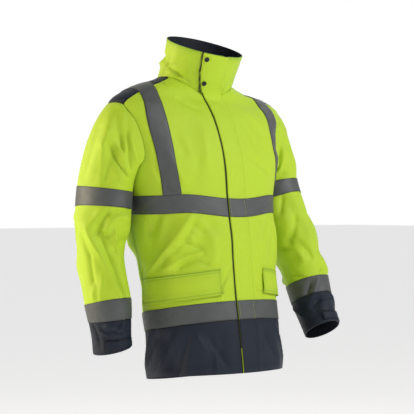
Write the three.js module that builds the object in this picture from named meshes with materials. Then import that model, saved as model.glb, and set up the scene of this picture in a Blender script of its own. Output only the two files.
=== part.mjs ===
import * as THREE from 'three';

// A hi-vis work parka, worn, with nobody in it. Millimetres, +Z up. The front faces -Y and the wearer's
// left is +X. The origin is the middle of the neck at the height of the shoulder line, where the wearer's
// shoulders hold the garment up.

const { smoothstep, radToDeg, degToRad } = THREE.MathUtils;

// Cloth and seams
const CLOTH = 1.6;
const THIN_CLOTH = 1.0;
const SEAM_GAP = 0.3;
const TAPE_WIDTH = 50;
const SHELL = [-CLOTH / 2, CLOTH / 2];
const stackOn = (below, thickness) => [below[1] + SEAM_GAP, below[1] + SEAM_GAP + thickness];
const ON_SHELL = stackOn(SHELL, THIN_CLOTH);
const FLAP_LAYER = stackOn(ON_SHELL, CLOTH);
const ON_FLAP = stackOn(FLAP_LAYER, THIN_CLOTH);
const POCKET_LAYER = stackOn(SHELL, CLOTH);
const INSIDE_SHELL = [SHELL[0] - SEAM_GAP - THIN_CLOTH, SHELL[0] - SEAM_GAP];

// Colours of the cloth and the studs
const COLOURS = {
  yellow: { color: 0xb4dc28, roughness: 0.62, metalness: 0 },
  navy: { color: 0x2b3140, roughness: 0.66, metalness: 0 },
  tape: { color: 0x6a6e70, roughness: 0.42, metalness: 0.1 },
  stud: { color: 0x1b1d26, roughness: 0.35, metalness: 0.6 },
};

// A table has named columns and one row for each station
const table = (columns, rows) =>
  rows.map((row) => Object.fromEntries(columns.map((name, i) => [name, row[i]])));

// Level sections of the body: half its width, its depth before and behind the centre, and the centre's y
const BODY_POWER = 2.25;
const BODY = table(['z', 'width', 'front', 'back', 'centre'], [
  [-880, 194, 166, 152, -88],
  [-786, 196, 165, 150, -81],
  [-692, 197, 162, 142, -70],
  [-611, 198, 160, 140, -58],
  [-503, 204, 155, 152, -50],
  [-445, 208, 156, 164, -44],
  [-387, 214, 157, 161, -32],
  [-330, 223, 155, 152, -25],
  [-249, 246, 150, 145, -21],
  [-193, 264, 140, 137, -17],
  [-125, 282, 117, 122, -10],
  [-85, 287, 96, 110, -4],
  [-66, 272, 83, 104, -1],
  [-50, 243, 76, 101, 0],
  [-36, 206, 70, 97, 0],
  [-24, 164, 64, 93, 0],
  [-10, 126, 58, 88, 0],
  [4, 102, 52, 83, 0],
  [16, 82, 46, 76, 0],
]);
const TOP_OF_BODY = BODY.at(-1).z;
const LOWEST_SHOULDER = -110;

// The swung arm pulls the wearer's left shoulder down beside the neck, and the other one is raised
const SHOULDER_SHIFT = { right: { x: 165, width: 60, height: 6 }, left: { x: 155, width: 85, height: -14 } };
const SHOULDER_STRETCH = { from: -110, to: -45 };

// Distances from the middle of the body to the lines that the panels follow, by height
const LINES = table(['z', 'pocketAndNeck', 'braceInner', 'braceOuter', 'backNeck'], [
  [-880, 72, 146, 176, 60],
  [-560, 72, 146, 178, 60],
  [-330, 82, 158, 196, 66],
  [-237, 92, 173, 213, 76],
  [-127, 104, 180, 231, 88],
  [-50, 110, 177, 223, 100],
  [16, 110, 176, 222, 100],
]);

// The armhole: its front and back edges' y at each height, from the underarm up to the yoke's corners
const UNDERARM_Z = -262;
const ARMHOLE_FRONT = table(['z', 'y'], [
  [UNDERARM_Z, -20], [-252, -56], [-232, -80], [-193, -84], [-127, -67], [-86, -39],
]);
const ARMHOLE_BACK = table(['z', 'y'], [
  [UNDERARM_Z, -20], [-252, 16], [-232, 40], [-190, 54], [-135, 52], [-90, 42],
]);
const SHOULDER_TIP_X = 284;

// The side seam, as degrees from the front's middle: straight below the arm, then swung to the back
const SIDE_SEAM = { top: 91, low: 105, swingsFrom: 285, swingsTo: 430 };
const SIDE_SEAM_ANGLE = degToRad(SIDE_SEAM.low);
// The swung arm pulls the wearer's left brace outwards above the chest tape
const LEFT_BRACE = { z: -290, height: 90, braceInner: 27, braceOuter: 15 };

// The yoke's two long seams, as y over x, and the neck seam's plan
const YOKE_FRONT = table(['x', 'y'], [[100, -18], [125, -29], [176, -38], [290, -39]]);
const YOKE_BACK = table(['x', 'y'], [[95, 42], [140, 48], [176, 50], [290, 42]]);
const NECK = { width: 112, front: 76, back: 80, power: 2.3 };

// The stand collar's top edge: an oval that leans forward and rises towards the back
const COLLAR_TOP = {
  width: 113, front: 92, back: 92, centreY: -45, height: 82, rise: 0.33, tilt: -0.04, backLift: 9,
};
const COLLAR_WAIST = 7;
const COLLAR_CELLS = 5;

// The front closure: the zip lies on the middle line and the flap covers it
const ZIP_HALF_WIDTH = 7;
const FLAP_HALF_WIDTH = 32;
const FACING_SHOWS = 2.5;
const FLAP_ON_COLLAR = table(['share', 'free', 'stitched'], [[0, -41, 22], [0.5, -58, 16], [1, -68, 7]]);
const FLAP_LIFT = 1.5;
const STUD = { radius: 6.8, height: 2.2, sides: 16, fromFreeEdge: 0.22 };
const STUDS = table(['name', 'share', 'lift'], [['snap_upper', 0.86, 1], ['snap_lower', 0.24, 1.7]]);

// Level lines round the body, as heights over the angle from the front's middle
const toSide = (a) => Math.min(Math.abs(a), SIDE_SEAM_ANGLE);
const bump = (x, at, width) => Math.exp(-(((x - at) / width) ** 2));
const hemSeam = (a) => -688 + 27 * Math.cos(a);
const chestTapeTop = (a) => -330 - 8 * bump(a, 0, 0.35) + 4 * bump(Math.abs(a), 0.7, 0.3);
const LEVELS = {
  hem: (a) => -824 + 21 * Math.cos(a) + 7 * Math.sin(a) ** 2,
  hemSeam,
  hemTapeTop: (a) => hemSeam(a) + TAPE_WIDTH,
  pocketBottom: (a) => -587 - 22 * toSide(a),
  pocketTop: (a) => -521 - 20 * toSide(a),
  chestTapeBottom: (a) => chestTapeTop(a) - TAPE_WIDTH,
  chestTapeTop,
  underarm: () => UNDERARM_Z,
};

// Rows of cells from one level line to the next
const HEM_ROWS = table(['from', 'to', 'cells'], [['hem', 'hemSeam', 5]]);
const BODY_ROWS = table(['from', 'to', 'cells'], [
  ['hemSeam', 'hemTapeTop', 2],
  ['hemTapeTop', 'pocketBottom', 1],
  ['pocketBottom', 'pocketTop', 2],
  ['pocketTop', 'chestTapeBottom', 6],
  ['chestTapeBottom', 'chestTapeTop', 2],
  ['chestTapeTop', 'underarm', 1],
]);
const UPPER_CELLS = 8;

// Columns of cells between the named lines, from the middle to the side
const FRONT_COLUMNS = table(['from', 'to', 'cells'], [
  ['zip', 'flap', 1],
  ['flap', 'pocketAndNeck', 2],
  ['pocketAndNeck', 'braceInner', 3],
  ['braceInner', 'braceOuter', 2],
  ['braceOuter', 'pocketOuter', 2],
  ['pocketOuter', 'side', 1],
]);
const BACK_COLUMNS = table(['from', 'to', 'cells'], [
  ['middle', 'backNeck', 3],
  ['backNeck', 'braceInner', 3],
  ['braceInner', 'braceOuter', 2],
  ['braceOuter', 'side', 3],
]);
const YOKE_CELLS = 5;
const POCKET_OUTER_SHARE = 0.9;
const POCKET_FLAP_LIFT = [3, 2, 0];

// The arms' centre lines with the sleeve's half-width across and half-depth, from below the armhole down.
// The wearer's right arm hangs, and the left one swings forward.
const SLEEVES = {
  right: table(['x', 'y', 'z', 'across', 'deep'], [
    [281, 26, -262, 70, 88],
    [288, 29, -312, 69, 85],
    [292, 30, -362, 69, 86],
    [297, 28, -410, 69, 86],
    [300, 31, -455, 62, 76],
    [301, 29, -500, 58, 70],
    [300, 15, -560, 58, 68],
    [298, 1, -614, 59, 67],
    [295, -5, -664, 54, 62],
    [292, -7, -702, 51, 57],
    [289, -8, -742, 49, 55],
  ]),
  left: table(['x', 'y', 'z', 'across', 'deep'], [
    [281, 4, -250, 70, 86],
    [284, -3, -295, 69, 84],
    [288, -17, -344, 69, 85],
    [294, -40, -400, 69, 84],
    [301, -72, -457, 63, 75],
    [307, -102, -513, 59, 70],
    [311, -119, -556, 58, 66],
    [312, -127, -576, 58, 65],
    [312, -145, -623, 55, 61],
    [311, -165, -661, 51, 57],
    [309, -193, -708, 48, 54],
  ]),
};
const CUFF_END_TILT = { right: 9, left: 0 };
// Rows of a sleeve's table that bound its pieces
const SLEEVE_ROW = { bandTop: 1, bandBottom: 2, lowerBandTop: 7, cuffSeam: 8, end: 10 };
const CAP_CELLS = 7;
const CAP_CELL_IN_ROWS = 0.6;
// A place in the arm's hollow that the sleeve's head bends round
const CAP_HEART = { x: 262, y: 0, z: -160 };
// How a sleeve leaves its armhole, as shares out and down: level with its heart, on top and at the underarm
const CAP_LEAVES = { low: [0.5, 0.86], top: [0.8, 0.74], under: [0.95, 0.2] };
const CUFF_TAB = { firstColumn: 2, lastColumn: 8, lowerInset: 0.14, upperInset: 0.22, lift: 1 };
// What a sleeve's middle surface keeps from the body's, so that tapes pass each other
const SLEEVE_CLEARANCE = { distance: 7, from: 215, to: 270 };
// What a sleeve's seam stands off more at the underarm, where the panel bulges between its edge's points
const UNDERARM_SPARE = 1.2;

// Folds of the body: from one place to another, as degrees round from the front's middle and heights,
// with half-width and depth. A negative depth is a trough.
const BODY_FOLDS = table(['a0', 'z0', 'a1', 'z1', 'width', 'depth'], [
  [-42, -395, -66, -520, 26, 9],
  [-30, -470, -58, -505, 24, -8],
  [-20, -400, -34, -455, 22, -6],
  [-75, -400, -88, -500, 26, -7],
  [-119, -385, -123, -480, 50, 17],
  [46, -400, 62, -520, 28, 7],
  [80, -395, 70, -500, 26, -6],
  [-22, -700, -34, -800, 26, -6],
  [-50, -695, -60, -800, 26, 6],
  [-78, -700, -70, -800, 28, -6],
  [28, -700, 36, -800, 26, 5],
  [60, -700, 66, -800, 26, -6],
  [66, -131, 66, -207, 64, -11.5],
  [22, -110, 34, -270, 26, -5],
  [-22, -110, -30, -240, 26, -4],
  [130, -200, 150, -330, 30, -7],
  [-130, -200, -150, -330, 30, -7],
  [165, -400, 140, -560, 32, 8],
  [-165, -400, -140, -560, 32, 8],
  [150, -450, 115, -600, 30, -7],
  [-150, -450, -115, -600, 30, -7],
  [172, -690, 168, -830, 32, -7],
  [-160, -690, -154, -830, 32, 7],
  [130, -690, 126, -820, 32, 6],
  [-120, -690, -126, -820, 32, -6],
]);

// Folds of a sleeve: degrees round from the outside towards the front, and rows of its table
const SLEEVE_FOLDS = {
  right: table(['a0', 'v0', 'a1', 'v1', 'width', 'depth'], [
    [60, -2.5, 40, 0.4, 20, -8],
    [35, -3.0, 20, -0.5, 20, 6],
    [110, -1.6, 75, 0.6, 22, 7],
    [30, 2.4, 75, 4.4, 22, -8],
    [75, 2.3, 110, 3.8, 20, -7],
    [0, 2.6, 30, 5.6, 24, 7],
    [130, 3.6, 80, 4.6, 20, -9],
    [-60, 3.0, -100, 4.6, 24, -8],
    [-120, 4.4, -40, 5.4, 24, 7],
    [60, 5.2, 100, 6.6, 22, -6],
    [20, 8.3, 60, 9.4, 16, -5],
    [100, 8.2, 60, 9.0, 14, 5],
  ]),
  left: table(['a0', 'v0', 'a1', 'v1', 'width', 'depth'], [
    [80, -2.4, 120, -0.6, 18, -9],
    [50, -2.6, 70, 0.2, 22, 6],
    [100, 0.2, 130, 0.9, 18, -7],
    [120, 2.2, 95, 4.2, 22, -8],
    [40, 3.6, 100, 4.6, 24, 6],
    [20, 4.4, 70, 5.2, 22, -6],
    [-60, 3.0, -100, 4.6, 24, -8],
    [-130, 4.2, -40, 5.0, 24, 7],
    [70, 5.2, 40, 6.6, 22, 6],
    [60, 8.3, 20, 9.0, 15, 6],
    [110, 8.2, 140, 9.4, 14, -5],
  ]),
};
const MM_PER_BODY_DEGREE = 3.3;
const MM_PER_SLEEVE_DEGREE = 1.25;
const MM_PER_SLEEVE_ROW = 48;
const CALM_DEGREES_AT_ZIP = 10;

const lerp = (a, b, t) => a + (b - a) * t;
const signedPower = (v, power) => Math.sign(v) * Math.abs(v) ** power;

// Shares of a cubic's two ends and their two slopes
const cubic = (t) => ({
  start: 2 * t ** 3 - 3 * t ** 2 + 1,
  leave: t ** 3 - 2 * t ** 2 + t,
  end: -2 * t ** 3 + 3 * t ** 2,
  arrive: t ** 3 - t ** 2,
});

// Value of a table's column at a station, on a smooth curve through its rows
function at(rows, key, station, name) {
  const list = rows.at(-1)[key] > rows[0][key] ? rows : [...rows].reverse();
  const last = list.length - 1;
  const s = Math.min(Math.max(station, list[0][key]), list[last][key]);
  let i = 0;
  while (i < last - 1 && s > list[i + 1][key]) i += 1;
  const slope = (k) => {
    const before = list[Math.max(k - 1, 0)];
    const after = list[Math.min(k + 1, last)];
    return (after[name] - before[name]) / (after[key] - before[key]);
  };
  const step = list[i + 1][key] - list[i][key];
  const share = cubic((s - list[i][key]) / step);
  return share.start * list[i][name] + share.end * list[i + 1][name]
    + step * (share.leave * slope(i) + share.arrive * slope(i + 1));
}

// Where a function that rises through zero between low and high does so
function root(f, low, high) {
  const HALVINGS = 40;
  let [lo, hi] = [low, high];
  for (let i = 0; i < HALVINGS; i += 1) {
    const mid = (lo + hi) / 2;
    if (f(mid) < 0) lo = mid;
    else hi = mid;
  }
  return (lo + hi) / 2;
}

function section(z) {
  const value = (name) => at(BODY, 'z', z, name);
  return { width: value('width'), front: value('front'), back: value('back'), centre: value('centre') };
}

// The body's surface: angle a is 0 at the front's middle and 90 degrees at the wearer's left side
function bodyPoint(a, z) {
  const s = section(z);
  const cos = Math.cos(a);
  const depth = cos >= 0 ? s.front : s.back;
  return new THREE.Vector3(
    s.width * signedPower(Math.sin(a), 2 / BODY_POWER),
    s.centre - depth * signedPower(cos, 2 / BODY_POWER),
    z,
  );
}

// How far outside the body's section a point is, as a share
function outside(x, y, z) {
  const s = section(z);
  const depth = y < s.centre ? s.front : s.back;
  return (Math.abs(x) / s.width) ** BODY_POWER + (Math.abs(y - s.centre) / depth) ** BODY_POWER - 1;
}

function bodyNormal(p) {
  const STEP = 0.5;
  const slope = (dx, dy, dz) =>
    outside(p.x + dx, p.y + dy, p.z + dz) - outside(p.x - dx, p.y - dy, p.z - dz);
  return new THREE.Vector3(slope(STEP, 0, 0), slope(0, STEP, 0), slope(0, 0, STEP)).normalize();
}

const angleFromX = (x, z) => Math.asin(Math.min(1, x / section(z).width) ** (BODY_POWER / 2));
const angleFromY = (y, z) => {
  const s = section(z);
  const depth = y < s.centre ? s.front : s.back;
  const share = Math.min(1, Math.abs(y - s.centre) / depth) ** (BODY_POWER / 2);
  return Math.acos(y < s.centre ? share : -share);
};

// Height of the shoulder over a place in plan
const heightOver = (x, y) => root((z) => outside(x, y, z), LOWEST_SHOULDER, TOP_OF_BODY);

// How far a shoulder's point is raised from the even shape
function shoulderShift(p) {
  const shift = p.x > 0 ? SHOULDER_SHIFT.left : SHOULDER_SHIFT.right;
  return shift.height * bump(Math.abs(p.x), shift.x, shift.width)
    * smoothstep(p.z, SHOULDER_STRETCH.from, SHOULDER_STRETCH.to);
}

// Depth of all folds at a place. Each is a soft ridge or trough along a line that fades at both ends.
const FADE = 0.25;
function foldDepth(folds, place, scale) {
  return folds.reduce((sum, { start, end, width, depth }) => {
    const [dx, dy] = [0, 1].map((k) => (end[k] - start[k]) * scale[k]);
    const [px, py] = [0, 1].map((k) => (place[k] - start[k]) * scale[k]);
    const t = (px * dx + py * dy) / (dx * dx + dy * dy);
    const off = (px * dy - py * dx) / Math.hypot(dx, dy);
    const ends = smoothstep(t, -FADE, FADE) * (1 - smoothstep(t, 1 - FADE, 1 + FADE));
    return sum + depth * ends * bump(off, 0, width);
  }, 0);
}
const BODY_FOLD_LINES = BODY_FOLDS.map((f) => ({ ...f, start: [f.a0, f.z0], end: [f.a1, f.z1] }));
const sleeveFoldLines = (name) =>
  SLEEVE_FOLDS[name].map((f) => ({ ...f, start: [f.a0, f.v0], end: [f.a1, f.v1] }));

function bodyFold(a, z) {
  const degrees = radToDeg(a);
  const around = degrees - 360 * Math.sign(degrees);
  const calm = 1 - bump(degrees, 0, CALM_DEGREES_AT_ZIP);
  const depthAt = (angle) => foldDepth(BODY_FOLD_LINES, [angle, z], [MM_PER_BODY_DEGREE, 1]);
  return calm * (depthAt(degrees) + depthAt(around));
}

// A node of a grid: a place p on the cloth's middle surface and the direction n out of it
function bodyNode(a, z) {
  const p = bodyPoint(a, z);
  const n = bodyNormal(p);
  const shift = shoulderShift(p);
  p.addScaledVector(n, bodyFold(a, z));
  p.z += shift;
  return { p, n };
}

function shoulderNode(x, y) {
  const p = new THREE.Vector3(x, y, heightOver(x, y));
  const n = bodyNormal(p);
  p.z += shoulderShift(p);
  return { p, n };
}

// The lines that panels follow, as angles at a height
const offMiddle = (name) => (z) => angleFromX(at(LINES, 'z', z, name), z);
const offMiddleLeft = (name) => (z) =>
  angleFromX(at(LINES, 'z', z, name) + LEFT_BRACE[name] * bump(z, LEFT_BRACE.z, LEFT_BRACE.height), z);
const sideSeam = (z) =>
  degToRad(lerp(SIDE_SEAM.top, SIDE_SEAM.low, smoothstep(-z, SIDE_SEAM.swingsFrom, SIDE_SEAM.swingsTo)));
const offBack = (name) => (z) => Math.PI - angleFromX(at(LINES, 'z', z, name), z);
const sideLine = (armhole) => (z) =>
  (z <= UNDERARM_Z ? sideSeam(z) : angleFromY(at(armhole, 'z', z, 'y'), z));
const FRONT_LINES = {
  zip: (z) => angleFromX(ZIP_HALF_WIDTH, z),
  flap: (z) => angleFromX(FLAP_HALF_WIDTH, z),
  pocketAndNeck: offMiddle('pocketAndNeck'),
  braceInner: offMiddle('braceInner'),
  braceOuter: offMiddle('braceOuter'),
  pocketOuter: (z) => lerp(FRONT_LINES.braceOuter(z), FRONT_LINES.side(z), POCKET_OUTER_SHARE),
  side: sideLine(ARMHOLE_FRONT),
};
const LEFT_FRONT_LINES = {
  ...FRONT_LINES,
  braceInner: offMiddleLeft('braceInner'),
  braceOuter: offMiddleLeft('braceOuter'),
};
const BACK_LINES = {
  middle: () => Math.PI,
  backNeck: offBack('backNeck'),
  braceInner: offBack('braceInner'),
  braceOuter: offBack('braceOuter'),
  side: sideLine(ARMHOLE_BACK),
};

// Each column's angle as a function of height
function columnAngles(columns, lines) {
  const list = [lines[columns[0].from]];
  columns.forEach(({ from, to, cells }) => {
    for (let k = 1; k <= cells; k += 1) list.push((z) => lerp(lines[from](z), lines[to](z), k / cells));
  });
  return list;
}

// How many cells come before the stretch that starts at a named line
function cellsBefore(stretches, name) {
  const index = stretches.findIndex(({ from }) => from === name);
  return stretches.slice(0, index).reduce((sum, { cells }) => sum + cells, 0);
}

const FRONT_ANGLES = {
  [1]: columnAngles(FRONT_COLUMNS, LEFT_FRONT_LINES),
  [-1]: columnAngles(FRONT_COLUMNS, FRONT_LINES),
};
const BACK_ANGLES = columnAngles(BACK_COLUMNS, BACK_LINES);
const FLAP_COLUMN = cellsBefore(FRONT_COLUMNS, 'flap');
const FRONT_NECK_COLUMN = cellsBefore(FRONT_COLUMNS, 'pocketAndNeck');
const BACK_NECK_COLUMN = cellsBefore(BACK_COLUMNS, 'backNeck');
const FRONT_BRACE = ['braceInner', 'braceOuter'].map((name) => cellsBefore(FRONT_COLUMNS, name));
const BACK_BRACE = ['braceInner', 'braceOuter'].map((name) => cellsBefore(BACK_COLUMNS, name));
const POCKET_COLUMNS = ['pocketAndNeck', 'pocketOuter'].map((name) => cellsBefore(FRONT_COLUMNS, name));
const POCKET_ROWS = ['pocketBottom', 'pocketTop'].map((name) => cellsBefore(BODY_ROWS, name));
const CHEST_ROWS = ['chestTapeBottom', 'chestTapeTop'].map((name) => cellsBefore(BODY_ROWS, name));
const HEM_TAPE_ROWS = [0, cellsBefore(BODY_ROWS, 'hemTapeTop')];
const UNDERARM_ROW = BODY_ROWS.reduce((sum, { cells }) => sum + cells, 0);

// A block of rows between level lines, over all columns of one side: 1 is the wearer's left, -1 the right
function levelBlock(angles, side, stretches) {
  const SETTLE = 3;
  const nodeAt = (angle, level) => {
    let z = level(SIDE_SEAM_ANGLE);
    for (let i = 0; i < SETTLE; i += 1) z = level(angle(z));
    return bodyNode(side * angle(z), z);
  };
  return stretches.flatMap(({ from, to, cells }, block) => {
    const shares = Array.from({ length: cells + 1 }, (_, k) => k / cells).slice(block === 0 ? 0 : 1);
    return shares.map((share) =>
      angles.map((angle) => nodeAt(angle, (a) => lerp(LEVELS[from](a), LEVELS[to](a), share))));
  });
}

// How far a point lies inside the neck seam, and how far before or behind the yoke's seams
function insideNeck({ x, y }) {
  const depth = y < 0 ? NECK.front : NECK.back;
  return 1 - (Math.abs(x) / NECK.width) ** NECK.power - (Math.abs(y) / depth) ** NECK.power;
}
const pastYokeFront = ({ x, y }) => y - at(YOKE_FRONT, 'x', x, 'y');
const pastYokeBack = ({ x, y }) => at(YOKE_BACK, 'x', x, 'y') - y;

// The rows above the underarm. A column ends at the neck seam, at the yoke's seam or at the armhole's corner.
function upperBlock(angles, side, neckColumn, pastYoke, cornerZ) {
  const tops = angles.map((angle, j) => {
    if (j === angles.length - 1) return cornerZ;
    const past = j <= neckColumn ? insideNeck : pastYoke;
    return root((z) => past(bodyPoint(angle(z), z)), LOWEST_SHOULDER, TOP_OF_BODY - 1);
  });
  return Array.from({ length: UPPER_CELLS }, (_, k) =>
    angles.map((angle, j) => {
      const z = lerp(UNDERARM_Z, tops[j], (k + 1) / UPPER_CELLS);
      return bodyNode(side * angle(z), z);
    }));
}

const frontGrid = (side) => [
  ...levelBlock(FRONT_ANGLES[side], side, BODY_ROWS),
  ...upperBlock(FRONT_ANGLES[side], side, FRONT_NECK_COLUMN, pastYokeFront, ARMHOLE_FRONT.at(-1).z),
];
const halfBackGrid = (side) => [
  ...levelBlock(BACK_ANGLES, side, BODY_ROWS),
  ...upperBlock(BACK_ANGLES, side, BACK_NECK_COLUMN, pastYokeBack, ARMHOLE_BACK.at(-1).z),
];

// Two half grids that share their middle column
const joinHalves = (right, left) => right.map((row, i) => [...row.toReversed(), ...left[i].slice(1)]);

// The yoke: columns from neck to armhole, rows from its front seam over the shoulder to its back seam
function yokeGrid(side, front, back) {
  const first = front.at(-1).slice(FRONT_NECK_COLUMN);
  const last = back.at(-1).slice(BACK_NECK_COLUMN);
  return Array.from({ length: YOKE_CELLS + 1 }, (_, i) => {
    if (i === 0) return first;
    if (i === YOKE_CELLS) return last;
    const t = i / YOKE_CELLS;
    const bulge = 4 * t * (1 - t);
    return first.map(({ p: f }, j) => {
      const { p: b } = last[j];
      const toArmhole = j / (first.length - 1);
      const middle = (Math.abs(f.x) + Math.abs(b.x)) / 2;
      const toTip = (SHOULDER_TIP_X - middle) * toArmhole ** 4;
      const toNeck = (NECK.width - middle) * (1 - toArmhole) ** 4;
      const x = lerp(Math.abs(f.x), Math.abs(b.x), t) + bulge * (toTip + toNeck);
      return shoulderNode(side * x, lerp(f.y, b.y, t));
    });
  });
}

// The place and directions of a sleeve's ring at a row of its table, whole or in between
function sleeveRing(rows, side, v) {
  const STEP = 0.05;
  const numbered = rows.map((row, i) => ({ ...row, i }));
  const value = (name, s) => at(numbered, 'i', s, name);
  const centreAt = (s) => new THREE.Vector3(side * value('x', s), value('y', s), value('z', s));
  const down = centreAt(Math.min(v + STEP, rows.length - 1)).sub(centreAt(Math.max(v - STEP, 0))).normalize();
  const out = new THREE.Vector3(side, 0, 0).addScaledVector(down, -side * down.x).normalize();
  const ahead = new THREE.Vector3().crossVectors(out, down).normalize();
  if (ahead.y > 0) ahead.negate();
  return { centre: centreAt(v), down, out, ahead, across: value('across', v), deep: value('deep', v) };
}

function ringNode({ centre, out, ahead, across, deep }, phi) {
  const around = (x, y) =>
    out.clone().multiplyScalar(Math.cos(phi) * x).addScaledVector(ahead, Math.sin(phi) * y);
  return { p: centre.clone().add(around(across, deep)), n: around(1 / across, 1 / deep).normalize() };
}

// Keeps a sleeve's point outside the body and its folds, as cloth pressed against cloth
function clearOfBody(p, side) {
  if (-p.z < SLEEVE_CLEARANCE.from) return p;
  const s = section(p.z);
  const share = Math.abs(p.y - s.centre) / (p.y < s.centre ? s.front : s.back);
  if (share >= 1) return p;
  const fold = Math.max(0, bodyFold(side * angleFromY(p.y, p.z), p.z));
  const apart = SLEEVE_CLEARANCE.distance * smoothstep(-p.z, SLEEVE_CLEARANCE.from, SLEEVE_CLEARANCE.to);
  const half = s.width * (1 - share ** BODY_POWER) ** (1 / BODY_POWER) + apart + fold;
  return new THREE.Vector3(side * Math.max(side * p.x, half), p.y, p.z);
}

// The sleeve: rows from the armhole's own points over the cap and down the arm
function sleeveGrid(name, side, hole) {
  const rows = SLEEVES[name];
  const folds = sleeveFoldLines(name);
  const steps = hole.map((node, k) => node.p.distanceTo(hole[(k + 1) % hole.length].p));
  const total = steps.reduce((a, b) => a + b, 0);
  let walked = 0;
  const phis = steps.map((step) => {
    const phi = Math.PI - (2 * Math.PI * walked) / total;
    walked += step;
    return phi;
  });
  const first = sleeveRing(rows, side, SLEEVE_ROW.bandTop);
  const heart = new THREE.Vector3(side * CAP_HEART.x, CAP_HEART.y, CAP_HEART.z);
  const capNode = (node, phi, t) => {
    const end = ringNode(first, phi);
    const span = end.p.distanceTo(node.p);
    const topness = (1 + Math.cos(phi)) / 2;
    const underness = (1 - topness) ** 4;
    const [out, down] = [0, 1].map((k) =>
      lerp(lerp(CAP_LEAVES.low[k], CAP_LEAVES.top[k], topness), CAP_LEAVES.under[k], underness));
    const leave = new THREE.Vector3(side * out, 0, -down);
    const share = cubic(t);
    const p = node.p.clone().multiplyScalar(share.start)
      .addScaledVector(leave, share.leave * span)
      .addScaledVector(end.p, share.end)
      .addScaledVector(first.down, share.arrive * span);
    return { p, n: p.clone().sub(heart).normalize().lerp(end.n, t).normalize() };
  };
  const creased = ({ p, n }, phi, v, settled) => {
    const depth = foldDepth(folds, [radToDeg(phi), v], [MM_PER_SLEEVE_DEGREE, MM_PER_SLEEVE_ROW]);
    return { p: clearOfBody(p.clone().addScaledVector(n, depth * settled), side), n };
  };
  const FULL_FOLD_ROW = 3;
  const grid = [hole.map(({ p }) => ({ p, n: p.clone().sub(heart).normalize() }))];
  for (let k = 1; k < CAP_CELLS; k += 1) {
    const v = SLEEVE_ROW.bandTop - (CAP_CELLS - k) * CAP_CELL_IN_ROWS;
    grid.push(hole.map((node, c) =>
      creased(capNode(node, phis[c], k / CAP_CELLS), phis[c], v, Math.min(1, k / FULL_FOLD_ROW))));
  }
  for (let v = SLEEVE_ROW.bandTop; v <= SLEEVE_ROW.end; v += 1) {
    const ring = sleeveRing(rows, side, v);
    grid.push(phis.map((phi) => creased(ringNode(ring, phi), phi, v, 1)));
  }
  grid.at(-1).forEach(({ p }, c) => {
    p.z -= CUFF_END_TILT[name] * Math.cos(phis[c]);
  });
  return grid;
}

// The grid with directions read from its own facets, where no formula gives them
function withFacetNormals(grid, closed) {
  const height = grid.length;
  const width = grid[0].length;
  return grid.map((row, i) => row.map((node, j) => {
    const up = grid[Math.min(i + 1, height - 1)][j].p.clone().sub(grid[Math.max(i - 1, 0)][j].p);
    const right = closed ? row[(j + 1) % width].p : row[Math.min(j + 1, width - 1)].p;
    const left = closed ? row[(j - 1 + width) % width].p : row[Math.max(j - 1, 0)].p;
    const n = new THREE.Vector3().crossVectors(right.clone().sub(left), up).normalize();
    if (n.dot(node.n) < 0) n.negate();
    return { p: node.p, n };
  }));
}

// Moves a grid's edges in by a little, so that neighbours stand apart at the seam
function trim(grid, edges, by = SEAM_GAP / 2) {
  const copy = grid.map((row) => row.map((node) => ({ p: node.p.clone(), n: node.n })));
  const [top, last] = [grid.length - 1, grid[0].length - 1];
  const pull = (i, j, towardsRow, towardsColumn) => {
    const way = grid[towardsRow][towardsColumn].p.clone().sub(grid[i][j].p).normalize();
    copy[i][j].p.addScaledVector(way, by);
  };
  grid[0].forEach((_, j) => {
    if (edges.includes('bottom')) pull(0, j, 1, j);
    if (edges.includes('top')) pull(top, j, top - 1, j);
  });
  grid.forEach((_, i) => {
    if (edges.includes('first')) pull(i, 0, i, 1);
    if (edges.includes('last')) pull(i, last, i, last - 1);
  });
  return copy;
}
const ALL_EDGES = ['bottom', 'top', 'first', 'last'];

// Where a piece leaves a seam at an angle, its first row is drawn off until its wall clears the panel's edge
function standOff(grid, seam, closed, spare = () => 0) {
  const half = CLOTH / 2;
  const width = seam.length;
  const middle = seam.reduce((sum, { p }) => sum.add(p), new THREE.Vector3()).divideScalar(width);
  const neighbour = (j) => (closed ? (j + width) % width : Math.min(Math.max(j, 0), width - 1));
  const first = seam.map(({ p, n }, j) => {
    const along = seam[neighbour(j + 1)].p.clone().sub(seam[neighbour(j - 1)].p);
    const past = along.cross(n).normalize();
    if (past.dot(middle.clone().sub(p)) < 0) past.negate();
    const way = grid[1][j].p.clone().sub(p).normalize();
    const own = grid[0][j].n;
    const clear = half + SEAM_GAP + spare(p) + half * Math.abs(own.dot(n));
    const over = clear / Math.max(way.dot(n), 0.01);
    const beyond = (SEAM_GAP + half * Math.abs(own.dot(past))) / Math.max(way.dot(past), 0.01);
    return { p: p.clone().addScaledVector(way, Math.min(over, beyond)), n: own };
  });
  return [first, ...grid.slice(1)];
}

const part = (grid, rows, columns) =>
  grid.slice(rows[0], rows[1] + 1).map((row) => row.slice(columns[0], columns[1] + 1));

// Whether a cell split from its first to its third corner stands out, so that layers are all split alike
function foldsOut([a, b, c, d]) {
  const split = a.p.clone().add(c.p);
  const other = b.p.clone().add(d.p);
  const out = a.n.clone().add(b.n).add(c.n).add(d.n);
  return split.sub(other).dot(out) > 0;
}

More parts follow.
